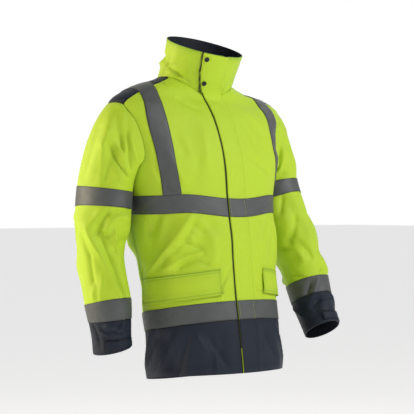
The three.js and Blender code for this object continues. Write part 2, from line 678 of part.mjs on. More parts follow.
// A closed wall between two distances out of a grid's middle surface
function wall(grid, [inner, outer], closed = false) {
  const [height, width] = [grid.length, grid[0].length];
  const positions = [outer, inner].flatMap((distance) =>
    grid.flat().flatMap(({ p, n }) => p.clone().addScaledVector(n, distance).toArray()));
  const layer = height * width;
  const near = (i, j) => i * width + (j % width);
  const deep = (i, j) => near(i, j) + layer;
  const index = [];
  const quad = (a, b, c, d) => index.push(a, b, c, a, c, d);
  const cells = closed ? width : width - 1;
  for (let i = 0; i < height - 1; i += 1) {
    for (let j = 0; j < cells; j += 1) {
      const corners = [[i, j], [i, j + 1], [i + 1, j + 1], [i + 1, j]];
      if (!foldsOut(corners.map(([r, c]) => grid[r][c % width]))) corners.push(corners.shift());
      quad(...corners.map(([r, c]) => near(r, c)));
      quad(...[0, 3, 2, 1].map((k) => deep(...corners[k])));
    }
  }
  for (let j = 0; j < cells; j += 1) {
    quad(deep(0, j), deep(0, j + 1), near(0, j + 1), near(0, j));
    quad(near(height - 1, j), near(height - 1, j + 1), deep(height - 1, j + 1), deep(height - 1, j));
  }
  for (let i = 0; !closed && i < height - 1; i += 1) {
    quad(near(i, 0), near(i + 1, 0), deep(i + 1, 0), deep(i, 0));
    quad(deep(i, width - 1), deep(i + 1, width - 1), near(i + 1, width - 1), near(i, width - 1));
  }
  const geometry = new THREE.BufferGeometry();
  geometry.setAttribute('position', new THREE.Float32BufferAttribute(positions, 3));
  geometry.setIndex(index);
  return facingOut(geometry);
}

// Turns a closed body's faces round if its signed volume says that they face in
function facingOut(geometry) {
  const position = geometry.getAttribute('position');
  const index = [...geometry.getIndex().array];
  const corner = (k) => new THREE.Vector3().fromBufferAttribute(position, index[k]);
  let volume = 0;
  for (let k = 0; k < index.length; k += 3) volume += corner(k).dot(corner(k + 1).cross(corner(k + 2)));
  if (volume < 0) geometry.setIndex(index.reverse());
  geometry.computeVertexNormals();
  return geometry;
}

const jacket = new THREE.Group();
jacket.name = 'hi_vis_work_jacket';

function add(name, geometry, colour) {
  const mesh = new THREE.Mesh(geometry, new THREE.MeshStandardMaterial(COLOURS[colour]));
  mesh.name = name;
  jacket.add(mesh);
  return mesh;
}

// Untrimmed grids, from which every piece is cut
const SIDES = [{ name: 'right', side: -1 }, { name: 'left', side: 1 }];
const bySide = (make) => Object.fromEntries(SIDES.map(({ name, side }) => [name, make(side, name)]));
const fronts = bySide(frontGrid);
const halfBacks = bySide(halfBackGrid);
const frontHems = bySide((side) => levelBlock(FRONT_ANGLES[side], side, HEM_ROWS));
const yokes = bySide((side, name) => yokeGrid(side, fronts[name], halfBacks[name]));
const lastColumn = FRONT_ANGLES[1].length - 1;
const backWidth = 2 * (BACK_ANGLES.length - 1);

// Fronts, back, their tapes and pocket flaps
function buildBody() {
  SIDES.forEach(({ name }) => {
    const grid = trim(fronts[name], ALL_EDGES);
    add(`front_${name}`, wall(grid, SHELL), 'yellow');
    const beside = [FLAP_COLUMN, lastColumn];
    add(`chest_tape_${name}`, wall(trim(part(grid, CHEST_ROWS, beside), ['first']), ON_SHELL), 'tape');
    add(`hem_tape_${name}`, wall(trim(part(grid, HEM_TAPE_ROWS, beside), ['first']), ON_SHELL), 'tape');
    const pocket = part(grid, POCKET_ROWS, POCKET_COLUMNS).map((row, i) =>
      row.map(({ p, n }) => ({ p: p.clone().addScaledVector(n, POCKET_FLAP_LIFT[i]), n })));
    add(`pocket_flap_${name}`, wall(pocket, POCKET_LAYER), 'yellow');
  });
  const back = trim(joinHalves(halfBacks.right, halfBacks.left), ALL_EDGES);
  add('back', wall(back, SHELL), 'yellow');
  add('chest_tape_back', wall(part(back, CHEST_ROWS, [0, backWidth]), ON_SHELL), 'tape');
  add('hem_tape_back', wall(part(back, HEM_TAPE_ROWS, [0, backWidth]), ON_SHELL), 'tape');
}

// The navy panels below the hem tape
function buildHem() {
  SIDES.forEach(({ name }) => {
    add(`hem_front_${name}`, wall(trim(frontHems[name], ALL_EDGES), SHELL), 'navy');
  });
  const halves = SIDES.map(({ side }) => levelBlock(BACK_ANGLES, side, HEM_ROWS));
  add('hem_back', wall(trim(joinHalves(...halves), ALL_EDGES), SHELL), 'navy');
}

// A brace runs over the front, the yoke and the back in one piece, on their own columns
function buildShoulders() {
  SIDES.forEach(({ name }) => {
    add(`yoke_${name}`, wall(trim(yokes[name], ALL_EDGES), SHELL), 'navy');
    const [front, back] = [trim(fronts[name], ['top']), trim(halfBacks[name], ['top'])];
    const onYoke = FRONT_BRACE.map((column) => column - FRONT_NECK_COLUMN);
    const up = part(front, [CHEST_ROWS[1], front.length - 1], FRONT_BRACE);
    const over = part(yokes[name], [1, YOKE_CELLS - 1], onYoke);
    const down = part(back, [CHEST_ROWS[1], back.length - 1], BACK_BRACE);
    const brace = trim([...up, ...over, ...down.reverse()], ['bottom', 'top'], SEAM_GAP);
    add(`brace_${name}`, wall(brace, ON_SHELL), 'tape');
  });
}

// The armhole's own points, from the underarm up the front, over the yoke and down the back
function armhole(name) {
  const lastOf = (grid) => grid.map((row) => row.at(-1));
  const front = lastOf(fronts[name].slice(UNDERARM_ROW));
  const over = lastOf(yokes[name]).slice(1, -1);
  const back = lastOf(halfBacks[name].slice(UNDERARM_ROW)).slice(1).reverse();
  return [...front, ...over, ...back];
}

function buildSleeves() {
  SIDES.forEach(({ name, side }) => {
    const hole = armhole(name);
    const spare = ({ z }) => UNDERARM_SPARE * smoothstep(-z, SLEEVE_CLEARANCE.from, -UNDERARM_Z);
    const grid = standOff(withFacetNormals(sleeveGrid(name, side, hole), true), hole, true, spare);
    const rowAt = (v) => CAP_CELLS + v - SLEEVE_ROW.bandTop;
    const between = (from, to) => part(grid, [from, to], [0, hole.length - 1]);
    const seam = rowAt(SLEEVE_ROW.cuffSeam);
    add(`sleeve_${name}`, wall(trim(between(0, seam), ['top']), SHELL, true), 'yellow');
    const cuff = trim(between(seam, rowAt(SLEEVE_ROW.end)), ['bottom']);
    add(`cuff_${name}`, wall(cuff, SHELL, true), 'navy');
    const upper = between(rowAt(SLEEVE_ROW.bandTop), rowAt(SLEEVE_ROW.bandBottom));
    add(`sleeve_tape_upper_${name}`, wall(upper, ON_SHELL, true), 'tape');
    const lower = trim(between(rowAt(SLEEVE_ROW.lowerBandTop), seam), ['top']);
    add(`sleeve_tape_lower_${name}`, wall(lower, ON_SHELL, true), 'tape');
    add(`cuff_tab_${name}`, wall(cuffTab(cuff), ON_SHELL), 'navy');
  });
}

// The adjusting tab lies on the cuff's last row of cells, on the side that faces forward
function cuffTab(cuff) {
  const across = [CUFF_TAB.firstColumn, CUFF_TAB.lastColumn];
  const [upper, lower] = part(cuff, [cuff.length - 2, cuff.length - 1], across);
  const between = (share) => upper.map((node, j) => {
    const n = node.n.clone().lerp(lower[j].n, share).normalize();
    return { p: node.p.clone().lerp(lower[j].p, share).addScaledVector(n, CUFF_TAB.lift), n };
  });
  return [between(CUFF_TAB.upperInset), between(1 - CUFF_TAB.lowerInset)];
}

// The collar's surface stands on a point of the neck seam and leans forward to its top edge
function collarNode({ p: base }, share) {
  const turn = Math.atan2(base.x / NECK.width, -base.y / (base.y < 0 ? NECK.front : NECK.back));
  const behind = (1 - Math.cos(turn)) / 2;
  const reach = Math.cos(turn) > 0 ? COLLAR_TOP.front : COLLAR_TOP.back;
  const y = COLLAR_TOP.centreY - reach * Math.cos(turn);
  const x = COLLAR_TOP.width * Math.sin(turn);
  const z = COLLAR_TOP.height + COLLAR_TOP.tilt * x + COLLAR_TOP.rise * (y - COLLAR_TOP.centreY)
    + COLLAR_TOP.backLift * behind;
  const n = new THREE.Vector3(Math.sin(turn) / NECK.width, -Math.cos(turn) / NECK.front, 0).normalize();
  const p = base.clone().lerp(new THREE.Vector3(x, y, z), share);
  return { p: p.addScaledVector(n, -Math.sin(Math.PI * share) * COLLAR_WAIST * behind), n };
}

// From the right front's edge round the back of the neck to the left front's edge
function neckSeam() {
  const half = (name) => [
    ...fronts[name].at(-1).slice(0, FRONT_NECK_COLUMN),
    ...yokes[name].map((row) => row[0]),
    ...halfBacks[name].at(-1).slice(0, BACK_NECK_COLUMN).reverse(),
  ];
  return [...half('right'), ...half('left').reverse().slice(1)];
}

function collarGrid() {
  const seam = neckSeam();
  const raw = Array.from({ length: COLLAR_CELLS + 1 }, (_, i) =>
    seam.map((node) => collarNode(node, i / COLLAR_CELLS)));
  return standOff(withFacetNormals(raw, false), seam, false);
}

function buildCollar(grid) {
  const apart = trim(grid, ['first', 'last']);
  add('collar', wall(apart, SHELL), 'yellow');
  add('collar_lining', wall(apart, INSIDE_SHELL), 'navy');
}

// The columns next to the middle line, from the hem up to the neck seam
function centreRows(columns) {
  const rowsOf = (name) => [...frontHems[name], ...fronts[name].slice(1)];
  const left = rowsOf('left');
  return rowsOf('right').map((row, i) =>
    [...columns.map((j) => row[j]), ...columns.toReversed().map((j) => left[i][j])]);
}

// The strip that holds the zip runs from the hem to the collar's top edge, between the fronts
function buildZip(collar) {
  const below = centreRows([0]);
  const above = collar.slice(1).map((row) => [row[0], row.at(-1)]);
  const corner = below.pop().map(({ p, n }, j) => ({ p, n: n.clone().add(above[0][j].n).normalize() }));
  add('zip', wall(trim([...below, corner, ...above], ALL_EDGES), SHELL), 'navy');
}

// The flap's own points on the collar, where it slants towards the wearer's right
function flapOnCollar() {
  const CELLS = 3;
  const baseAt = (x) => {
    const y = -NECK.front * (1 - (Math.abs(x) / NECK.width) ** NECK.power) ** (1 / NECK.power);
    return shoulderNode(x, y);
  };
  const raw = Array.from({ length: COLLAR_CELLS + 1 }, (_, i) => {
    const share = i / COLLAR_CELLS;
    const edge = (name) => at(FLAP_ON_COLLAR, 'share', share, name);
    return Array.from({ length: CELLS + 1 }, (_column, k) =>
      collarNode(baseAt(lerp(edge('free'), edge('stitched'), k / CELLS)), share));
  });
  return withFacetNormals(raw, false)
    .map((row) => row.map(({ p, n }) => ({ p: p.clone().addScaledVector(n, FLAP_LIFT), n })));
}

// The storm flap in its two colours, the facing that shows at its free edge, its tapes and its two studs
function buildFlap() {
  const below = centreRows([FLAP_COLUMN, 0]);
  const hemCells = frontHems.left.length - 1;
  add('flap_facing', wall(trim(below, ALL_EDGES), ON_SHELL), 'yellow');
  const onCollar = flapOnCollar();
  const whole = trim(trim([...below.slice(0, -1), ...onCollar.slice(1)], ['first'], FACING_SHOWS), ['last']);
  const across = [0, whole[0].length - 1];
  add('storm_flap_hem', wall(trim(part(whole, [0, hemCells], across), ['top']), FLAP_LAYER), 'navy');
  const upper = trim(part(whole, [hemCells, whole.length - 1], across), ['bottom']);
  add('storm_flap', wall(upper, FLAP_LAYER), 'yellow');
  add('chest_tape_flap', wall(part(upper, CHEST_ROWS, across), ON_FLAP), 'tape');
  add('hem_tape_flap', wall(part(upper, HEM_TAPE_ROWS, across), ON_FLAP), 'tape');
  STUDS.forEach((stud) => addStud(stud, upper.slice(-COLLAR_CELLS - 1)));
}

function addStud({ name, share, lift }, grid) {
  const row = share * (grid.length - 1);
  const i = Math.floor(row);
  const column = STUD.fromFreeEdge * (grid[0].length - 1);
  const mix = (key) => {
    const [low, high] = [grid[i], grid[i + 1]].map((r) => r[0][key].clone().lerp(r[1][key], column));
    return low.lerp(high, row - i);
  };
  const n = mix('n').normalize();
  const seat = FLAP_LAYER[1] + lift + STUD.height / 2;
  const geometry = new THREE.CylinderGeometry(STUD.radius, STUD.radius, STUD.height, STUD.sides);
  geometry.applyQuaternion(new THREE.Quaternion().setFromUnitVectors(new THREE.Vector3(0, 1, 0), n));
  const mesh = add(name, geometry, 'stud');
  mesh.position.copy(mix('p').addScaledVector(n, seat));
}

buildBody();
buildHem();
buildShoulders();
buildSleeves();
const collar = collarGrid();
buildCollar(collar);
buildZip(collar);
buildFlap();

export default jacket;
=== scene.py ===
"""A hi-vis work parka, worn, with nobody in it.

Forms are worked out in millimetres and meshes are made in metres. +Z is up, the front faces -Y, the wearer's
left is +X, and the origin is the middle of the neck at the height of the shoulder line.
"""

from __future__ import annotations

import logging
import math
from dataclasses import dataclass, field, replace
from enum import Enum
from typing import Callable

import bpy
import numpy as np
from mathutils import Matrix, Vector

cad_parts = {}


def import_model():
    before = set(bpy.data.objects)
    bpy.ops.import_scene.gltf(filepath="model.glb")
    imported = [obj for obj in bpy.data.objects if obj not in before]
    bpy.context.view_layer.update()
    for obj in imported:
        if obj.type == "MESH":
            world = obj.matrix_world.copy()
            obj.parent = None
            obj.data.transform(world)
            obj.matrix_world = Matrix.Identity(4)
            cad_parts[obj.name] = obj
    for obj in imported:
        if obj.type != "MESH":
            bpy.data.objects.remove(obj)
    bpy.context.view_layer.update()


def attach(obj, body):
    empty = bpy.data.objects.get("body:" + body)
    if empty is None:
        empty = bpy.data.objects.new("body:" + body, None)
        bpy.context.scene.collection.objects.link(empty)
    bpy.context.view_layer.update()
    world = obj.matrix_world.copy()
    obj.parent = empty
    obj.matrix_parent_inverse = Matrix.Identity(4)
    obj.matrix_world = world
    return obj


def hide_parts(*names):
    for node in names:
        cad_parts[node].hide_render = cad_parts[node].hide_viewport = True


LOG = logging.getLogger("jacket")
MM = 0.001
Array = np.ndarray
Line = Callable[[Array], Array]
Table = dict[str, Array]

# Cloth and seams
CLOTH = 1.6
THIN_CLOTH = 1.0
SEAM_GAP = 0.3
TAPE_WIDTH = 50.0
CELL = 4.6
SEAM_STATIONS = np.array([0.0, 1.2, 3.5, 6.0, 8.5])


class Layer(Enum):
    """Distances out of the cloth's middle surface between which a piece lies."""

    SHELL = (-0.8, 0.8)
    ON_SHELL = (1.1, 2.1)
    FLAP = (2.4, 4.0)
    ON_FLAP = (4.3, 5.3)
    POCKET = (1.1, 2.7)
    INSIDE = (-2.1, -1.1)


class Side(Enum):
    """The wearer's sides, with the sign of X on each."""

    RIGHT = -1
    LEFT = 1

    @property
    def label(self) -> str:
        """The side's name in the names of its pieces."""
        return self.name.lower()


class Edge(Enum):
    """The four edges of a grid of cloth: its axis and whether it is the far one."""

    BOTTOM = (0, False)
    TOP = (0, True)
    FIRST = (1, False)
    LAST = (1, True)


class Hold(Enum):
    """How a sheet of cloth is held."""

    HUNG = "hung"
    LAID = "laid"
    DRAPED = "draped"


def table(names: str, rows: list[tuple[float, ...]]) -> Table:
    """Makes a table with named columns.

    Args:
        names: The columns' names, with spaces between them.
        rows: One row for each station.

    Returns:
        Each column's values under its name.
    """
    return dict(zip(names.split(), np.array(rows, float).T))


BODY = table("z width front back centre", [
    (-880, 194, 166, 152, -88),
    (-786, 196, 165, 150, -81),
    (-692, 197, 162, 142, -70),
    (-611, 198, 160, 140, -58),
    (-503, 204, 155, 152, -50),
    (-445, 208, 156, 164, -44),
    (-387, 214, 157, 161, -32),
    (-330, 223, 155, 152, -25),
    (-249, 246, 150, 145, -21),
    (-193, 264, 140, 137, -17),
    (-125, 282, 117, 122, -10),
    (-85, 287, 96, 110, -4),
    (-66, 272, 83, 104, -1),
    (-50, 243, 76, 101, 0),
    (-36, 206, 70, 97, 0),
    (-24, 164, 64, 93, 0),
    (-10, 126, 58, 88, 0),
    (4, 102, 52, 83, 0),
    (16, 82, 46, 76, 0),
])
BODY_POWER = 2.25
TOP_OF_BODY = 16.0
LOWEST_SHOULDER = -110.0
SHOULDER_SHIFT = {Side.RIGHT: (165.0, 60.0, 6.0), Side.LEFT: (155.0, 85.0, -14.0)}
SHOULDER_STRETCH = (-110.0, -45.0)
LINES = table("z pocket_and_neck brace_inner brace_outer back_neck", [
    (-880, 72, 146, 176, 60),
    (-560, 72, 146, 178, 60),
    (-330, 82, 158, 196, 66),
    (-237, 92, 173, 213, 76),
    (-127, 104, 180, 231, 88),
    (-50, 110, 177, 223, 100),
    (16, 110, 176, 222, 100),
])
UNDERARM_Z = -262.0
ARMHOLE_FRONT = table("z y", [
    (UNDERARM_Z, -20), (-252, -56), (-232, -80), (-193, -84), (-127, -67), (-86, -39),
])
ARMHOLE_BACK = table("z y", [
    (UNDERARM_Z, -20), (-252, 16), (-232, 40), (-190, 54), (-135, 52), (-90, 42),
])
SHOULDER_TIP_X = 284.0
SIDE_SEAM = math.radians(105)
SIDE_SEAM_TOP = math.radians(91)
SIDE_SEAM_SWINGS = (285.0, 430.0)
LEFT_BRACE = {"brace_inner": 27.0, "brace_outer": 15.0}
LEFT_BRACE_AT, LEFT_BRACE_HEIGHT = -290.0, 90.0
YOKE_FRONT = table("x y", [(100, -18), (125, -29), (176, -38), (290, -39)])
YOKE_BACK = table("x y", [(95, 42), (140, 48), (176, 50), (290, 42)])
NECK_WIDTH, NECK_FRONT, NECK_BACK, NECK_POWER = 112.0, 76.0, 80.0, 2.3


def along(rows: Table, key: str, station: Array | float, name: str) -> Array:
    """Reads a table's column on a smooth curve through its rows.

    Args:
        rows: The table.
        key: The column that holds the stations.
        station: Where to read, clipped to the table's ends.
        name: The column to read.

    Returns:
        The values, in the stations' shape.
    """
    x, y = rows[key], rows[name]
    if x[-1] < x[0]:
        x, y = x[::-1], y[::-1]
    last = len(x) - 1
    before, after = np.maximum(np.arange(last + 1) - 1, 0), np.minimum(np.arange(last + 1) + 1, last)
    rise = (y[after] - y[before]) / (x[after] - x[before])
    s = np.clip(station, x[0], x[-1])
    i = np.clip(np.searchsorted(x, s) - 1, 0, last - 1)
    step = x[i + 1] - x[i]
    t = (s - x[i]) / step
    swing = 3 * t**2 - 2 * t**3
    leave, arrive = t**3 - 2 * t**2 + t, t**3 - t**2
    return (1 - swing) * y[i] + swing * y[i + 1] + step * (leave * rise[i] + arrive * rise[i + 1])


def lerp(a: Array | float, b: Array | float, t: Array | float) -> Array | float:
    """Goes from a to b as t goes from 0 to 1."""
    return a + (b - a) * t


def smooth(value: Array | float, low: float, high: float) -> Array:
    """Rises softly from 0 at low to 1 at high."""
    t = np.clip((value - low) / (high - low), 0, 1)
    return t * t * (3 - 2 * t)


def hump(value: Array | float, middle: float, width: float) -> Array:
    """A soft hump of height 1 about a middle."""
    return np.exp(-(((value - middle) / width) ** 2))


def unit(v: Array) -> Array:
    """Scales vectors to length 1."""
    return v / np.maximum(np.linalg.norm(v, axis=-1, keepdims=True), 1e-9)


def signed_power(v: Array, power: float) -> Array:
    """Raises the size of a number to a power and keeps its sign."""
    return np.sign(v) * np.abs(v) ** power


def root(rise: Callable[[Array], Array], low: Array, high: Array) -> Array:
    """Finds where a rising function crosses zero, by halving.

    Args:
        rise: The function.
        low: Where each search starts.
        high: Where each search ends.

    Returns:
        The crossings.
    """
    low, high = np.array(low, float), np.array(high, float)
    for _ in range(36):
        middle = (low + high) / 2
        under = rise(middle) < 0
        low, high = np.where(under, middle, low), np.where(under, high, middle)
    return (low + high) / 2


@dataclass(frozen=True)
class Folds:
    """Folds of cloth, each a ridge or trough along a line, in two coordinates.

    Each row holds the line's two ends, its half-width and depth, how far it bows to one side, how much
    wider one flank is than the other, and how sharp its crest is from 0, soft, to 1.
    """

    rows: list[tuple[float, ...]]
    scale: tuple[float, float]
    turn: float = 360.0
    fade: float = 0.25

    def depth(self, u: Array, v: Array) -> Array:
        """Sums the folds at places, counted round the turn as well."""
        total = np.zeros(np.broadcast(u, v).shape)
        for row in self.rows:
            u0, v0, u1, v1, width, height, bow, lean, crisp = (*row, 0, 0, 0)[:9]
            dx, dy = (u1 - u0) * self.scale[0], (v1 - v0) * self.scale[1]
            length = math.hypot(dx, dy)
            for turned in (u, u - self.turn * np.where(u < 0, -1, 1)):
                px, py = (turned - u0) * self.scale[0], (v - v0) * self.scale[1]
                t = (px * dx + py * dy) / length**2
                off = (px * dy - py * dx) / length - bow * 4 * t * (1 - t)
                q = off / (width * (1 + lean * np.tanh(off / width)))
                soft = np.exp(-(q**2))
                sharp = np.exp(-1.7 * (np.sqrt(q**2 + 0.03) - 0.173))
                ends = smooth(t, -self.fade, self.fade) * (1 - smooth(t, 1 - self.fade, 1 + self.fade))
                total = total + height * ends * lerp(soft, sharp, crisp)
        return total


MM_PER_BODY_DEGREE = 3.3
MM_PER_SLEEVE_DEGREE = 1.25
MM_PER_SLEEVE_ROW = 48.0
CALM_DEGREES_AT_ZIP = 10.0

BODY_FOLDS = Folds([
    (66, -131, 66, -207, 64, -11.5),
    (-42, -395, -66, -520, 26, 9),
    (-30, -470, -58, -505, 24, -8),
    (-20, -400, -34, -455, 22, -6),
    (-75, -400, -88, -500, 26, -7),
    (-119, -385, -123, -480, 50, 17),
    (46, -400, 62, -520, 28, 7),
    (80, -395, 70, -500, 26, -6),
    (-22, -700, -34, -800, 26, -6),
    (-50, -695, -60, -800, 26, 6),
    (-78, -700, -70, -800, 28, -6),
    (28, -700, 36, -800, 26, 5),
    (60, -700, 66, -800, 26, -6),
    (22, -110, 34, -270, 26, -5),
    (-22, -110, -30, -240, 26, -4),
    (130, -200, 150, -330, 30, -7),
    (-130, -200, -150, -330, 30, -7),
    (165, -400, 140, -560, 32, 8),
    (-165, -400, -140, -560, 32, 8),
    (150, -450, 115, -600, 30, -7),
    (-150, -450, -115, -600, 30, -7),
    (172, -690, 168, -830, 32, -7),
    (-160, -690, -154, -830, 32, 7),
    (130, -690, 126, -820, 32, 6),
    (-120, -690, -126, -820, 32, -6),
    (-37.5, -382, -55.5, -448, 11, 7.5, 0, 0, 0.8),
    (-55.5, -448, -86.5, -534, 12, 9, 0, 0, 0.8),
    (-36, -400, -46.5, -448, 10, -7.5, 0, 0, 0.7),
    (-46.5, -448, -60.5, -484, 12, -9, 0, 0, 0.7),
    (-60.5, -484, -85.5, -538, 10, -7.5, 0, 0, 0.7),
    (-47, -454, -34.5, -468, 10, -7, 0, 0, 0.6),
    (-34.5, -468, -30.5, -486, 9, -6, 0, 0, 0.6),
    (-31.5, -480, -48, -492, 9, 7.5, 0, 0, 0.8),
    (-48, -492, -69, -528, 9, 7.5, 0, 0, 0.8),
    (-28, -512, -39, -500, 8, -7, 0, 0, 0.8),
    (-39, -500, -52.5, -514, 8, -7, 0, 0, 0.8),
    (-52.5, -514, -57, -530, 7, -6, 0, 0, 0.8),
    (-36.5, -406, -33, -424, 7, -5, 0, 0, 0.8),
    (-33, -424, -27.5, -424, 7, -5, 0, 0, 0.8),
    (-31.5, -392, -23.5, -426, 12, 2.5, 0, 0, 0.5),
    (-23.5, -426, -20.5, -474, 12, 2.5, 0, 0, 0.5),
    (-20.5, -474, -24, -510, 12, 2.5, 0, 0, 0.5),
    (-46, -438, -38, -456, 8, 4.5, 0, 0, 0.7),
    (-9.5, -524, -17, -566, 6, -4.5, 0, 0, 0.8),
    (-69, -385, -85.5, -438, 11, -6, 0, 0, 0.5),
    (-84, -385, -88, -450, 9, 6, 0, 0, 0.6),
    (-62, -390, -73, -448, 10, 4.5, 0, 0, 0.5),
    (-98, -520, -108, -600, 12, -6, 0, 0, 0.6),
    (-14, -560, -22, -610, 8, 4, 0, 0, 0.6),
    (9.5, -518, 12, -580, 6, -3, 0, 0, 0.8),
    (8, -574, 20.5, -596, 6, -4, 0, 0, 0.8),
    (22.5, -402, 15, -466, 9, 4.5, 0, 0, 0.6),
    (33.5, -386, 21.5, -450, 9, -5, 0, 0, 0.6),
    (27, -470, 18, -540, 10, 4.5, 0, 0, 0.6),
    (40, -440, 34, -520, 10, -6, 0, 0, 0.6),
    (-24, -70, -12, -96, 8, -4.5, 0, 0, 0.6),
    (-34.5, -164, -33, -222, 13, -2.5, 0, 0, 0.4),
    (-28.5, -158, -28, -228, 13, 2.5, 0, 0, 0.4),
    (-22.5, -224, -30, -304, 15, -3, 0, 0, 0.4),
    (-46, -215, -38, -300, 12, 4, 0, 0, 0.5),
    (-14, -150, -19, -250, 12, 4, 0, 0, 0.5),
    (-60, -250, -52, -320, 12, -5, 0, 0, 0.6),
    (10.5, -118, 20.5, -202, 12, -3, 0, 0, 0.4),
    (15, -80, 29.5, -136, 12, 3, 0, 0, 0.4),
    (13.5, -226, 33.5, -262, 10, -4.5, 0, 0, 0.5),
    (-86, -700, -101.5, -774, 10, -7, 0, 0, 0.6),
    (-65.5, -706, -87.5, -802, 10, 7.5, 0, 0, 0.6),
    (-51.5, -700, -67.5, -814, 9, -7.5, 0, 0, 0.6),
    (-35, -700, -20.5, -782, 9, -6, 0, 0, 0.6),
    (-45.5, -700, -38.5, -745, 9, 6, 0, 0, 0.6),
    (-28, -720, -30, -800, 9, 5, 0, 0, 0.6),
    (13.5, -690, 27, -762, 9, -6, 0, 0, 0.6),
    (4.5, -690, 8.5, -772, 8, 4.5, 0, 0, 0.6),
    (36, -700, 48, -790, 10, 6, 0, 0, 0.6),
    (-98, -714, -115, -810, 10, 6, 0, 0, 0.5),
    (60, -400, 74, -470, 11, -7.5, 0, 0, 0.7),
    (74, -470, 92, -540, 11, -7.5, 0, 0, 0.7),
    (68, -390, 88, -450, 11, 7.5, 0, 0, 0.7),
    (96, -400, 104, -520, 14, 7.5, 0, 0, 0.6),
    (104, -700, 112, -800, 11, -7.5, 0, 0, 0.6),
    (84, -700, 92, -790, 11, 6, 0, 0, 0.6),
    (172, -120, 158, -230, 14, 6, 0, 0, 0.5),
    (-172, -140, -162, -240, 14, -6, 0, 0, 0.5),
    (142, -215, 160, -300, 12, -7, 0, 0, 0.7),
    (-140, -210, -156, -312, 12, -7, 0, 0, 0.7),
    (118, -245, 132, -310, 12, 7.5, 0, 0, 0.7),
    (-116, -250, -134, -305, 12, 7.5, 0, 0, 0.7),
    (176, -395, 158, -470, 12, -7.5, 0, 0, 0.7),
    (158, -470, 128, -520, 12, -7.5, 0, 0, 0.7),
    (-178, -410, -150, -480, 12, 7.5, 0, 0, 0.7),
    (-150, -480, -122, -560, 12, 7.5, 0, 0, 0.7),
    (-158, -395, -136, -440, 11, -7.5, 0, 0, 0.7),
    (148, -400, 120, -450, 11, 7.5, 0, 0, 0.7),
    (170, -540, 142, -612, 12, 6, 0, 0, 0.6),
    (-168, -560, -140, -618, 12, -6, 0, 0, 0.6),
    (156, -700, 150, -820, 11, -7.5, 0, 0, 0.6),
    (-176, -700, -172, -820, 11, 7.5, 0, 0, 0.6),
    (-138, -704, -130, -810, 11, -7.5, 0, 0, 0.6),
], (MM_PER_BODY_DEGREE, 1.0))

